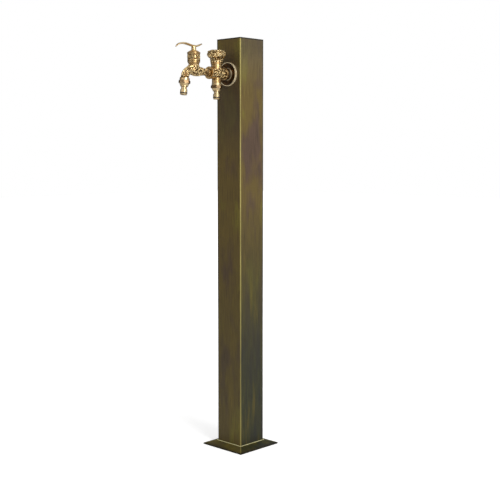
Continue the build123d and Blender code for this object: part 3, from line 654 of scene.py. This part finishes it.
def relief_mesh(strokes_and_places):
    """Points, faces and heights of raised strokes, each laid by its own place function."""
    points, faces, heights = [], [], []
    for stroke, place in strokes_and_places:
        line = stroke["line"]
        along = np.gradient(line, axis=0)
        across = np.stack([-along[:, 1], along[:, 0]], axis=1)
        across /= np.linalg.norm(across, axis=1)[:, None] + 1e-12
        rings = []
        for spot, side, half, rise in zip(line, across, stroke["half"], stroke["rise"]):
            hits = [place(*(spot + side * half * share)) for share in CROSS]
            if None in hits:
                add_strip(rings, points, faces, heights)
                rings = []
                continue
            ring = []
            for (at, normal), crown in zip(hits, stroke["crown"]):
                lift = (rise + STROKE_SINK) * crown - STROKE_SINK
                ring.append((at + normal * (lift * MM), crown))
            at, normal = place(*spot)
            rings.append(ring + [(at - normal * (STROKE_ROOT * MM), 0.0)])
        add_strip(rings, points, faces, heights)
    return points, faces, heights


def angles(count):
    """The angles of evenly spaced points round a circle."""
    return [2 * pi * step / count for step in range(count)]


def ring_faces(lower, upper, size):
    """The faces between two rings of points, each ring given by the place of its first point."""
    return [(lower + step, upper + step, upper + (step + 1) % size, lower + (step + 1) % size)
            for step in range(size)]


def add_strip(rings, points, faces, heights):
    """Joins three or more rings of points into a closed strip with capped ends."""
    if len(rings) < 3:
        return
    size = len(rings[0])
    start = len(points)
    for ring in rings:
        points.extend(at for at, height in ring)
        heights.extend(height for at, height in ring)
    last = start + (len(rings) - 1) * size
    for here in range(start, last, size):
        faces.extend(ring_faces(here, here + size, size))
    faces.append(tuple(range(start, start + size)))
    faces.append(tuple(reversed(range(last, last + size))))


BEAD_SIDES = 10
BEAD_LEVELS = 4
BEAD_SINK = 0.3


def add_bead(points, faces, heights, place, a, b, radius, rise, tall=1.0):
    """A half-round bead on a surface, stretched upwards by a factor."""
    hit = place(a, b)
    if hit is None:
        return
    at, normal = hit
    side = normal.orthogonal().normalized() if tall == 1 else UP.cross(normal).normalized()
    other = normal.cross(side) * tall
    start = len(points)
    for level in range(BEAD_LEVELS):
        tilt = pi / 2 * level / BEAD_LEVELS
        sink = BEAD_SINK if level == 0 else 0
        for turn in angles(BEAD_SIDES):
            out = (side * cos(turn) + other * sin(turn)) * (radius * cos(tilt))
            points.append(at + (out + normal * (rise * sin(tilt) - sink)) * MM)
            heights.append(sin(tilt))
    points.append(at + normal * (rise * MM))
    heights.append(1.0)
    top = start + BEAD_LEVELS * BEAD_SIDES
    for here in range(start, top - BEAD_SIDES, BEAD_SIDES):
        faces.extend(ring_faces(here + BEAD_SIDES, here, BEAD_SIDES))
    for step in range(BEAD_SIDES):
        faces.append((top - BEAD_SIDES + step, top - BEAD_SIDES + (step + 1) % BEAD_SIDES, top))
    faces.append(tuple(reversed(range(start, start + BEAD_SIDES))))


def ornament(name, strokes_and_places, beads, body):
    """One piece that holds raised strokes and beads."""
    points, faces, heights = relief_mesh(strokes_and_places)
    for bead in beads:
        add_bead(points, faces, heights, *bead)
    piece = new_piece(name, points, faces, relief, body)
    attribute = piece.data.attributes.new("relief", "FLOAT", "POINT")
    attribute.data.foreach_set("value", heights)
    return piece


def round_surface(tree, ray_at, reach):
    """A place function: ray_at turns a and b, in mm, into a ray's inner end and its way out.

    A ray that starts inside the casting meets a hollow's wall from behind, where no ornament belongs.
    """
    def place(a, b):
        centre, out = ray_at(a, b)
        hit, normal, *_ = tree.ray_cast(centre + out * reach, -out, reach)
        if hit is None or normal.dot(out) < 0:
            return None
        return hit, (normal + out).normalized()
    return place


def upright_place(tree, axis_y, girth, reach=40 * MM, foot=0.0, side=1):
    """Round an upright axis: a mm round it on a girth, from one side of it, and b mm up from a foot."""
    def ray_at(a, b):
        turn = a / girth
        return Vector((0, axis_y, foot + b * MM)), Vector((side * cos(turn), -sin(turn), 0))
    return round_surface(tree, ray_at, reach)


# Tee: scrolls and leaves on both sides of the barrel, between its plain collars
TEE_GIRTH = 13.8


def tee_side(tree, side):
    """One side of the barrel: a mm along it, outwards, and b mm up round it."""
    def ray_at(a, b):
        turn = b / TEE_GIRTH
        return Vector((0, TEE_MID_Y - a * MM, TAP_LEVEL)), Vector((side * cos(turn), 0, sin(turn)))
    return round_surface(tree, ray_at, 40 * MM)


TEE_CURL = (-9.4, -0.4)
TEE_SMALL_CURL = (12.4, 0.8)


def frill(centre, radius, headings, hand, length, width, height):
    """Leaves that fan out from a curl and lean to one hand."""
    strokes = []
    for angle in headings:
        root = np.array(centre) + radius * np.array([cos(angle), sin(angle)])
        path = curled(root, angle + 0.7 * hand, length, -1.3 * hand)
        strokes.append(leaf(path, width, height, 2))
    return strokes


def tee_strokes():
    """Scrolls for one side of the tee: a large leafy curl towards the wall and a smaller one outwards."""
    strokes = [stem(spiral(TEE_CURL, 7.2, 1.9, 0.16, -2.2, 1), 2.7, 1.3),
               stem(spiral(TEE_SMALL_CURL, 5, 1.6, 0.2, 0.8, -1), 2.3, 1.2)]
    strokes += frill(TEE_CURL, 7.6, (-2.7, -1.9, -1.1, -0.2, 0.7, 1.6, 2.5), 1, 4.6, 3.2, 1.2)
    strokes += frill(TEE_SMALL_CURL, 5.4, (-2.4, -1.2, 0, 1.2, 2.4), -1, 4, 2.9, 1.1)
    strokes += vine([(-17, -7), (-9, -10.4), (-1, -8.8), (5, -5.4), (11, -7.2), (18.5, -5)],
                    2.2, 4.4, 5.6, 3.6, 1.2)
    strokes += vine([(19, 8.6), (12.6, 9.4), (6, 6.6), (0.5, 7.4), (-4, 10), (-11, 10), (-18.5, 8)],
                    2.2, 4.4, 5.4, 3.5, 1.2, first=-1)
    strokes.append(leaf(smooth_line([(7.6, -3.6), (4.4, 0), (1.2, 2.6), (-1.6, 6)]), 5.2, 1.35))
    strokes.append(leaf(smooth_line([(5.4, 5), (3.4, 1), (0.6, -2), (-1, -6)]), 4.4, 1.2))
    for lean in (-0.8, 0.8):
        for across, heading in ((-17.4, pi + 0.7 * lean), (17, 0.8 * lean)):
            strokes.append(leaf(curled(np.array([across, 9 * lean]), heading, 4, -lean), 3.2, 1.1, 1))
    return strokes


def dress_tee():
    tree = tree_of(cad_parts["tee_body"])
    work, beads = [], []
    for side in (1, -1):
        place = tee_side(tree, side)
        work += [(stroke, place) for stroke in tee_strokes()]
        beads += [(place, *TEE_CURL, 1.3, 1.5), (place, *TEE_SMALL_CURL, 1.1, 1.3)]
    ornament("tee_scrolls", work, beads, "root")


# Front body: flowing stems along the swelling body, round the bonnet's foot and down the bend
def body_line(along):
    """A point on the front body's centre line and the line's direction there."""
    forward = Vector((0, -cos(BODY_RISE), sin(BODY_RISE)))
    down = Vector((0, -sin(BODY_RISE), -cos(BODY_RISE)))
    start = Vector((0, BODY_START_Y, TAP_LEVEL))
    if along < BODY_BEND_START:
        return start + forward * along, forward
    turn = (along - BODY_BEND_START) / BODY_BEND_RADIUS
    pivot = start + forward * BODY_BEND_START + down * BODY_BEND_RADIUS
    heading = forward * cos(turn) + down * sin(turn)
    outward = forward * sin(turn) - down * cos(turn)
    return pivot + outward * BODY_BEND_RADIUS, heading


def body_side(tree, side):
    """One side of the front body: a mm along its line and b mm up round it."""
    def ray_at(a, b):
        centre, heading = body_line(a * MM)
        up = Vector((1, 0, 0)).cross(heading) * -1
        turn = b * MM / BODY_GIRTH
        return centre, (Vector((side, 0, 0)) * cos(turn) + up * sin(turn)).normalized()
    return round_surface(tree, ray_at, 15 * MM)


BODY_CURLS = ((24, 3.4, 4.4, 3.4, 1), (34, -6, 5, 0.6, -1), (50, 3.2, 4.6, 2.2, 1),
              (60, -4.2, 4.4, 0.4, -1), (68, 5.4, 4.2, 2.6, 1), (74, -4.6, 3.8, 0.8, -1))


def body_strokes():
    """Flowing stems for one side of the front body: three long strands, curls between them and leaves."""
    strokes = []
    strokes += vine([(7, 1), (13, 4), (20, 0), (29, -4), (40, -2), (49, -3.4), (58, 2.4), (66, 0), (78, 1)],
                    2.7, 5.2, 8.2, 4.8, 1.4)
    strokes += vine([(6, -8), (13, -5.4), (22, -8.6), (33, -12.6), (44, -10.4), (54, -9), (64, -9.6),
                     (78, -8)], 2.5, 5, 7.4, 4.4, 1.3, first=-1)
    strokes += vine([(7, 8), (14, 10.4), (21, 8.4), (30, 4), (39, 5), (47, 8.6), (56, 10), (66, 11.4),
                     (78, 9.6)], 2.5, 5, 7.4, 4.4, 1.3)
    for along, level, size, angle, hand in BODY_CURLS:
        strokes.append(stem(spiral((along, level), size, 1.5, 0.24, angle, hand), 2.1, 1.4))
    strokes += vine([(9, 15), (14, 15.6), (20, 14), (27, 11)], 2.2, 4.6, 6, 3.8, 1.2)
    strokes += vine([(53, 15), (62, 15.4), (70, 14.6), (78, 15)], 2.2, 4.6, 6, 3.8, 1.2, first=-1)
    strokes += vine([(24, -14), (36, -16.4), (48, -14.6)], 2, 5, 6, 3.4, 1.0, first=-1)
    for level in np.arange(-15, 16, 2.6):
        lash = [(0.8, level - 1.6), (2.6, level - 0.4), (4.4, level + 0.2), (6.6, level + 1.4)]
        strokes.append(stem(lash, 1.1, 0.5))
    return strokes


BOSS_GIRTH = 12.0


def boss_strokes():
    """Stems and leaves that climb from the body up the neck."""
    strokes = []
    for shift in (-12, -4, 4, 12):
        strokes += vine([(shift - 4, 5), (shift - 1.5, 9), (shift + 1, 12), (shift + 4, 14.6)],
                        1.9, 3.6, 4.6, 3, 1.1)
        strokes.append(stem(spiral((shift - 2.4, 13), 2.3, 1.2, 0.25, -0.6, 1), 1.4, 1.0))
    return strokes


def dress_front_body():
    low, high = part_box("front_body")

    def hold(points):
        below_collar = np.clip((high.z - 5 * MM - points[:, 2]) / (2 * MM), 0, 1)
        past_ring = np.clip((BODY_START_Y - 1 * MM - points[:, 1]) / (2 * MM), 0, 1)
        mouth = np.clip((points[:, 2] - (TAP_LEVEL - 13 * MM)) / (3 * MM), 0, 1)
        return below_collar * past_ring * mouth
    body = casting("front_body", "front_body_cast", BODY_VOXEL, 14, body_ground, "root", hold)
    tree = tree_of(body)
    work, beads = [], []
    for side in (1, -1):
        place = body_side(tree, side)
        work += [(stroke, place) for stroke in body_strokes()]
        boss = upright_place(tree, LEVER_Y, BOSS_GIRTH, 26 * MM, TAP_LEVEL, side)
        work += [(stroke, boss) for stroke in boss_strokes()]
        beads += [(place, along, level, 1.1, 1.4) for along, level, *_ in BODY_CURLS]
    ornament("front_scrolls", work, beads, "root")


# Bonnet: a band of oval medallions with crossed leaves between them, under two thin rings
BELL_GAP = 0.35
TRIM_COLUMNS = 160
MEDALLIONS = 6


def places_round(count, girth, shift=0):
    """Even places round a girth in mm, moved on by a share of their spacing."""
    return [(index + shift) * 2 * pi * girth / count for index in range(count)]


def medallion(at, level):
    """An oval ring with a leafy arc over it and another under it."""
    turn = np.linspace(0, 2 * pi, 40)
    ring = np.stack([at + 3.3 * np.cos(turn), level + 2.3 * np.sin(turn)], axis=1)
    strokes = [stem(ring, 1.4, 0.9, tip=1.0)]
    for hand in (1, -1):
        arc = smooth_line([(at + across, level + hand * rise)
                           for across, rise in ((-4.4, 3), (-2, 4.7), (2, 4.7), (4.4, 3))])
        strokes.append(leaf(arc, 2.2, 0.9, 2))
    return strokes


def round_axis(axis_y, radius, turn, level):
    """A point round an upright axis at its place along Y."""
    return Vector((radius * cos(turn), axis_y - radius * sin(turn), level))


def arc_outline(radius, height, size):
    """The outer half of a small round bead, from its foot to its top, as radius and height in mm."""
    tilts = np.linspace(-pi / 2, pi / 2, 9)
    return [(radius + size * cos(tilt), height + size * sin(tilt)) for tilt in tilts]


def bonnet_trim(girth):
    """Two thin rings round the bonnet's top edge, and a flare up to the lever's bell."""
    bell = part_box("lever")[1].x / MM + BELL_GAP
    outline = [(girth - 1, -4.1)]
    for height in (-3.3, -1.2):
        outline += arc_outline(girth - 0.1, height, 0.7)
    outline += [(girth - 0.9, -0.1), (girth - 1.7, 0.4), (bell + 0.9, 1), (bell + 0.2, 1.5), (bell, 1.5),
                (bell, -1)]
    points, faces = [], []
    for row, (radius, height) in enumerate(outline):
        points += [round_axis(LEVER_Y, radius * MM, -turn, BONNET_HIGH.z + height * MM)
                   for turn in angles(TRIM_COLUMNS)]
        after = (row + 1) % len(outline)
        faces += ring_faces(after * TRIM_COLUMNS, row * TRIM_COLUMNS, TRIM_COLUMNS)
    new_piece("bonnet_rings", points, faces, bonnet_ground, "root")


def dress_bonnet():
    tree = tree_of(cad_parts["front_bonnet"])
    girth = (BONNET_HIGH.x - BONNET_LOW.x) / 2 / MM
    place = upright_place(tree, LEVER_Y, girth)
    level = (BONNET_LOW.z + 12.1 * MM) / MM
    strokes, beads = [], []
    for at, between in zip(places_round(MEDALLIONS, girth), places_round(MEDALLIONS, girth, 0.5)):
        strokes += medallion(at, level)
        strokes.append(leaf([(at - 1.9, level), (at, level), (at + 1.9, level)], 1.7, 0.9, 1))
        for hand in (1, -1):
            path = [(between + hand * across, level + rise)
                    for across, rise in ((-2.4, -4.6), (-0.9, -1), (0.9, 1), (2.4, 4.6))]
            strokes.append(leaf(smooth_line(path), 2.5, 0.9, 2))
        beads.append((place, between, level, 1.0, 1.1))
    ornament("bonnet_band", [(stroke, place) for stroke in strokes], beads, "root")
    bonnet_trim(girth)


# Rear knob: a crown of twisting leaves over a ring of beads and a leafy collar
KNOB_SHARES = ((0.0, 0.652), (0.25, 0.652), (0.265, 0.69), (0.28, 0.655), (0.4, 0.655), (0.43, 0.73),
               (0.52, 0.87), (0.6, 0.955), (0.68, 1.0), (0.76, 0.995), (0.84, 0.965), (0.9, 0.92),
               (0.95, 0.86), (1.0, 0.62))
KNOB_FOOT = KNOB_LOW.z / MM
KNOB_HEIGHT = (KNOB_HIGH.z - KNOB_LOW.z) / MM
KNOB_GIRTH = 18.0
KNOB_TOP_GIRTH = 11.4
KNOB_ROWS = 84
KNOB_COLUMNS = 216
KNOB_LOBES = 8
KNOB_TWIST = 1.5
LOBE_DEPTH = 1.5
SCALLOP_DEPTH = 0.7

# Knob's bore: gaps, and the sizes that no box of the frame gives
KNOB_GAP = 0.1 * MM
KNOB_SCREW = 2.1 * MM
KNOB_SCREW_HEAD = 2.4 * MM
KNOB_DRIVE = 4.1 * MM
KNOB_NECK = 6.8 * MM
KNOB_HOLLOW = 11.9 * MM
KNOB_HOLLOW_DEEP = 5.9 * MM


def knob_profile(share):
    """The knob's radius in mm at a share of its height."""
    shares = np.array(KNOB_SHARES)
    return np.interp(share, shares[:, 0], shares[:, 1]) * (KNOB_HIGH.x - KNOB_LOW.x) / 2 / MM


def knob_shell():
    """The knob's turned outside, whose bulb is cut into twisting lobes under a scalloped brim."""
    points, faces = [], []
    for row in range(KNOB_ROWS + 1):
        share = row / KNOB_ROWS
        level = KNOB_LOW.z + share * (KNOB_HIGH.z - KNOB_LOW.z)
        radius = float(knob_profile(share))
        bulb = sin(pi * min(max((share - 0.38) / 0.52, 0), 1)) ** 0.7 if 0.38 < share < 0.9 else 0
        brim = 1 - abs(share - 0.92) / 0.08 if 0.88 < share < 1 else 0
        for turn in angles(KNOB_COLUMNS):
            wave = abs(sin(KNOB_LOBES / 2 * (turn + KNOB_TWIST * share)))
            cut = radius - LOBE_DEPTH * bulb * (1 - wave) ** 2
            cut += SCALLOP_DEPTH * abs(sin(KNOB_LOBES * turn)) * brim
            points.append(round_axis(KNOB_Y, cut * MM, turn, level))
    for row in range(KNOB_ROWS):
        faces += ring_faces(row * KNOB_COLUMNS, (row + 1) * KNOB_COLUMNS, KNOB_COLUMNS)
    return points, faces


def knob_inside(points, faces):
    """The recess round the top disc and the stepped bore under it, down to the mouth."""
    last = KNOB_ROWS * KNOB_COLUMNS
    for radius, level in knob_steps():
        here = len(points)
        points.extend(round_axis(KNOB_Y, radius, turn, level) for turn in angles(KNOB_COLUMNS))
        faces.extend(ring_faces(last, here, KNOB_COLUMNS))
        last = here
    faces.extend(ring_faces(last, 0, KNOB_COLUMNS))


def knob_steps():
    """Radii and levels of the knob's recess and bore, from its top down to its mouth."""
    button_low, button_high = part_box("knob_button")
    screw_low, screw_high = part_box("knob_screw")
    spindle_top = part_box("rear_spindle")[1].z + KNOB_GAP
    clip_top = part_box("spindle_clip")[1].z + KNOB_GAP
    recess = (button_high.x - button_low.x) / 2 + KNOB_GAP
    head = (screw_high.x - screw_low.x) / 2 + KNOB_GAP
    web = screw_high.z - KNOB_SCREW_HEAD
    roof = KNOB_LOW.z + KNOB_HOLLOW_DEEP
    levels = (KNOB_HIGH.z, button_low.z, web, spindle_top, clip_top, roof, KNOB_LOW.z)
    radii = (recess, head, KNOB_SCREW, KNOB_DRIVE, KNOB_NECK, KNOB_HOLLOW)
    return [(radius, level) for radius, pair in zip(radii, zip(levels, levels[1:])) for level in pair]


def knob_top_place(tree):
    """The flat top round the disc: a mm round it and b mm out from its axis."""
    def place(a, b):
        spot = round_axis(KNOB_Y, b * MM, a / KNOB_TOP_GIRTH, KNOB_HIGH.z + 5 * MM)
        hit, normal, *_ = tree.ray_cast(spot, -UP, 15 * MM)
        return None if hit is None else (hit, (normal + UP).normalized())
    return place


def on_knob(at, *corners):
    """A line on the knob's side: mm on from a place round it, and shares of its height."""
    return [(at + across, KNOB_FOOT + share * KNOB_HEIGHT) for across, share in corners]


def knob_strokes():
    """Twisting leaves, ribs and curls round the bulb, petals over it, and leaves on the collar."""
    strokes = []
    for at in places_round(9, KNOB_GIRTH):
        blade = on_knob(at, (0, 0.43), (2.5, 0.53), (6, 0.63), (10.6, 0.71), (14.4, 0.82))
        rib = on_knob(at, (4.2, 0.43), (7.6, 0.52), (11.6, 0.6), (15.6, 0.68), (17.4, 0.79))
        curl = on_knob(at, (9.2, 0.82))[0]
        strokes.append(leaf(smooth_line(blade), 7.2, 1.35))
        strokes.append(stem(smooth_line(rib), 1.8, 1.5))
        strokes.append(stem(spiral(curl, 2.5, 1.3, 0.25, -1.2, 1), 1.3, 1.2))
    for at in places_round(16, KNOB_GIRTH, 0.5):
        strokes.append(leaf(on_knob(at, (0, 0.86), (0, 0.91), (0, 0.98)), 6.6, 1.1, 1))
    for at in places_round(12, KNOB_GIRTH):
        strokes.append(leaf(on_knob(at, (0, 0.27), (0, 0.18), (0, 0.1)), 6.4, 1.0, 2))
        strokes.append(leaf(on_knob(at, (4.7, 0.27), (4.7, 0.22), (4.7, 0.16)), 4, 0.8, 1))
    return strokes


def dress_knob():
    points, faces = knob_shell()
    knob_inside(points, faces)
    knob = new_piece("rear_knob_cast", points, faces, knob_ground, "knob")
    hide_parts("rear_knob")
    tree = tree_of(knob)
    side = upright_place(tree, KNOB_Y, KNOB_GIRTH)
    top = knob_top_place(tree)
    work = [(stroke, side) for stroke in knob_strokes()]
    work += [(leaf([(at, 14.4), (at, 12.4), (at, 9.9)], 3.8, 0.9, 1), top)
             for at in places_round(16, KNOB_TOP_GIRTH, 0.5)]
    level = KNOB_FOOT + 0.34 * KNOB_HEIGHT
    beads = [(side, at, level, 1.35, 1.5, 1.6) for at in places_round(16, KNOB_GIRTH)]
    ornament("knob_leaves", work, beads, "knob")


# Foot: the bright bead where the cover meets the column
LIP_SIDE = 40.6 * MM
LIP_BEAD = 1.1 * MM
LIP_RADIUS = 0.88 * MM
LIP_CORNER = 2.2 * MM
LIP_SIDES = 8
LIP_STEPS = 5
LIP_SINK = 0.1 * MM


def dress_foot():
    reach = LIP_SIDE - LIP_CORNER + LIP_BEAD
    path = []
    for quarter, (across, along) in enumerate(((1, 1), (-1, 1), (-1, -1), (1, -1))):
        for step in range(LIP_STEPS + 1):
            turn = pi / 2 * (quarter + step / LIP_STEPS)
            path.append(Vector((across * reach, along * reach, 0))
                        + Vector((cos(turn), sin(turn), 0)) * LIP_CORNER)
    points, faces = [], []
    for row, spot in enumerate(path):
        out = spot.normalized() * LIP_RADIUS
        spot.z = COVER_HIGH.z - LIP_SINK
        for turn in angles(LIP_SIDES):
            points.append(spot + out * cos(turn) + UP * (LIP_RADIUS * sin(turn)))
        faces += ring_faces(row * LIP_SIDES, (row + 1) % len(path) * LIP_SIDES, LIP_SIDES)
    new_piece("cover_lip", points, faces, seam_pale_highlight(), "cover")


# Lever: its level and grid, then the stem's reach, its cut under the blade, and its flare in X and Y
LEVER_LEVEL = BONNET_HIGH.z + 13.9 * MM
LEVER_VOXEL = 0.36 * MM
STEM_REACH = 12 * MM
STEM_CUT = 2.8 * MM
STEM_NARROW = 0.76
STEM_LONG = 1.35

# Blade: run, rise, width and thickness in mm, as in the CAD
LEVER_SECTIONS = ((-55.1, -5.3, 2.6, 1.8), (-47.4, 0.7, 8.1, 3.1), (-36.9, 3.6, 12.4, 4.0),
                  (-26.4, 3.8, 13, 4.3), (-15.4, 2.1, 11.7, 4.3), (-5.5, 0.4, 9.6, 4.5), (2.1, 0, 8.8, 4.7),
                  (7.2, 0.1, 9.4, 4.3), (14.2, 1.9, 9.9, 3.6), (22.2, 5.1, 7.5, 2.8), (25.8, 6.5, 2.9, 1.8))
BLADE_SIDES = 40
BLADE_END = 0.8


def lever_rings(step, reach=inf, inset=0.0):
    """Rings of points round the blade, within a reach of the stem and drawn in by an inset in mm."""
    line = smooth_line(LEVER_SECTIONS, step)
    heading = np.gradient(line[:, :2], axis=0)
    heading /= np.linalg.norm(heading, axis=1)[:, None]
    line[:, 2:] -= 2 * inset
    sections = [(spot[:2], way, spot[2:]) for spot, way in zip(line, heading) if abs(spot[0]) < reach]
    first, last = sections[0], sections[-1]
    for turn in (0.5, 1.0, 1.45):
        ahead, size = BLADE_END * sin(turn), cos(turn)
        sections.insert(0, (first[0] - first[1] * ahead, first[1], first[2] * size))
        sections.append((last[0] + last[1] * ahead, last[1], last[2] * size))
    rings = []
    for (run, rise), (ahead, up), (width, thickness) in sections:
        ring = []
        for turn in angles(BLADE_SIDES):
            height = copysign(abs(sin(turn)) ** 0.8, sin(turn)) * thickness / 2
            ring.append(Vector((width / 2 * cos(turn) * MM, LEVER_Y + (run - height * up) * MM,
                                LEVER_LEVEL + (rise + height * ahead) * MM)))
        rings.append(ring)
    return rings


def add_rings(bm, rings):
    """Joins rings of points into a closed body in a bmesh."""
    loops = [[bm.verts.new(point) for point in ring] for ring in rings]
    size = len(loops[0])
    faces = [bm.faces.new((here[step], here[(step + 1) % size], there[(step + 1) % size], there[step]))
             for here, there in zip(loops, loops[1:]) for step in range(size)]
    faces += [bm.faces.new(tuple(reversed(loops[0]))), bm.faces.new(tuple(loops[-1]))]
    return faces


def lever_core():
    """The lever's bell and stem, cut from its CAD node under the blade and flared into the blade."""
    bm = bmesh.new()
    bm.from_mesh(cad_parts["lever"].data)
    bmesh.ops.remove_doubles(bm, verts=bm.verts, dist=TOUCHING)
    far = [v for v in bm.verts if abs(v.co.y - LEVER_Y) > STEM_REACH]
    bmesh.ops.delete(bm, geom=far, context="VERTS")
    cut = LEVER_LEVEL - STEM_CUT
    found = bmesh.ops.bisect_plane(bm, geom=bm.verts[:] + bm.edges[:] + bm.faces[:], dist=0.0001 * MM,
                                   plane_co=(0, 0, cut), plane_no=UP, clear_outer=True)
    edge = [item for item in found["geom_cut"] if isinstance(item, bmesh.types.BMEdge)]
    risen = bmesh.ops.extrude_edge_only(bm, edges=edge)["geom"]
    for vert in [item for item in risen if isinstance(item, bmesh.types.BMVert)]:
        x, y, z = vert.co
        vert.co = (x * STEM_NARROW, LEVER_Y + (y - LEVER_Y) * STEM_LONG, LEVER_LEVEL)
    bmesh.ops.holes_fill(bm, edges=[item for item in risen if isinstance(item, bmesh.types.BMEdge)])
    add_rings(bm, lever_rings(0.7, reach=10, inset=0.15))
    bmesh.ops.recalc_face_normals(bm, faces=bm.faces)
    core = bpy.data.meshes.new("lever_core")
    bm.to_mesh(core)
    bm.free()
    return core


def dress_lever():
    piece = casting("lever", "lever_cast", LEVER_VOXEL, 16, lever_brass, "lever",
                    shape=lever_core())
    bm = bmesh.new()
    bm.from_mesh(piece.data)
    blade = add_rings(bm, lever_rings(0.5))
    bmesh.ops.recalc_face_normals(bm, faces=blade)
    for face in blade:
        face.smooth = True
    bm.to_mesh(piece.data)
    bm.free()


FLOOR_REACH = 12.0
WHITE = (1, 1, 1, 1)


def set_stage():
    """Pale floor, open under the anchor plate so that its underside can be seen."""
    outer, inner = FLOOR_REACH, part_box("anchor_plate")[1].x - 3 * MM
    corners = ((-1, -1), (1, -1), (1, 1), (-1, 1))
    points = [(x * reach, y * reach, 0) for reach in (outer, inner) for x, y in corners]
    mesh = bpy.data.meshes.new("floor")
    mesh.from_pydata(points, [], ring_faces(4, 0, 4))
    floor = add_object("floor", mesh)
    floor.location.z = min(cad_box[0].z, 0) - 0.2 * MM
    mesh.materials.append(floor_white())


def floor_white():
    """Nearly white, lit up for the camera away from the foot, and clear from below."""
    n = Nodes("floor_white")
    n.finish(n.ramp(n.noise(0.002, 2), (0.3, FLOOR_DULL), (0.7, FLOOR_PALE)), 0.8, 0.0)
    n.join(0.1, n.shader.inputs["Specular IOR Level"])
    x, y, z = n.axes()
    glow = n.add("Emission", [("Strength", n.fade(n.distance(x, y), 0.1, 1.6) * 0.5 + 0.5)])
    black = n.add("Emission", [("Strength", 0.0)])
    seen = n.either(n.ray("Is Camera Ray"), black, glow)
    both = n.add("AddShader", [(0, Value(n, n.shader.outputs[0])), (1, seen)])
    behind = n.add("NewGeometry", output="Backfacing")
    surface = n.either(behind, both, n.add("BsdfTransparent"))
    n.join(surface, n.tree.nodes["Material Output"].inputs["Surface"])
    return n.owner


# World: its light, what the camera sees of it, and the sides that metal reflects, by share of a turn
WORLD_LIGHT = 0.34
WORLD_SEEN = 1.0
WORLD_OVERHEAD = 0.45
WORLD_SIDES = ((0.0, 0.12), (0.07, 0.16), (0.13, 0.62), (0.19, 0.14), (0.29, 0.22), (0.35, 1.15),
               (0.42, 0.2), (0.5, 0.8), (0.56, 0.16), (0.64, 0.95), (0.7, 0.5), (0.76, 0.12), (0.9, 0.12),
               (1.0, 0.12))


def set_world():
    """A soft even sky for light, and a studio of bright and dim sides for reflections."""
    n = Nodes("studio", bpy.data.worlds)
    bpy.context.scene.world = n.owner
    n.tree.nodes.clear()
    x, y, z = n.axes("Generated")
    share = n.add("MapRange", [("Value", n.math("ARCTAN2", y, x)), ("From Min", -pi), ("From Max", pi)])
    studio = n.ramp(share, *WORLD_SIDES) + n.fade(z, 0.4, 0.75, WORLD_OVERHEAD)
    mirrored = n.add("Background", [("Color", studio)])
    light, seen = [n.add("Background", [("Color", WHITE), ("Strength", strength)])
                   for strength in (WORLD_LIGHT, WORLD_SEEN)]
    glossy = n.either(n.ray("Is Glossy Ray"), light, mirrored)
    camera = n.either(n.ray("Is Camera Ray"), glossy, seen)
    n.join(camera, n.tree.nodes.new("ShaderNodeOutputWorld").inputs["Surface"])


def area_lamp(name, place, target, width, height, power):
    lamp = bpy.data.lights.new(name, "AREA")
    lamp.shape = "RECTANGLE"
    lamp.size, lamp.size_y = width, height
    lamp.energy = power
    holder = add_object(name, lamp)
    holder.location = place
    holder.rotation_euler = (Vector(target) - Vector(place)).to_track_quat("-Z", "Y").to_euler()


def set_lamps():
    area_lamp("key", (1.9, -0.5, 1.7), (0, 0, 0.85), 0.9, 1.2, 32)
    area_lamp("fill", (-0.3, -2.7, 1.6), (0, 0, 0.6), 1.2, 1.2, 6)
    area_lamp("back", (-0.6, 2.2, 1.6), (0, 0, 0.7), 1.6, 1.2, 16)


def set_camera():
    camera = add_object("camera", bpy.data.cameras.new("camera"))
    camera.data.lens = CAMERA_LENS
    camera.data.sensor_width = CAMERA_SENSOR
    camera.location = (sin(CAMERA_AZIMUTH) * CAMERA_DISTANCE,
                       -cos(CAMERA_AZIMUTH) * CAMERA_DISTANCE, CAMERA_HEIGHT)
    camera.rotation_euler = (pi / 2 - LOOK_DOWN, 0, LOOK_AZIMUTH)
    bpy.context.scene.camera = camera


dress_tee()
dress_front_body()
dress_bonnet()
dress_knob()
dress_lever()
dress_foot()
set_stage()
set_world()
set_lamps()
set_camera()
bpy.context.scene.view_settings.view_transform = "Standard"
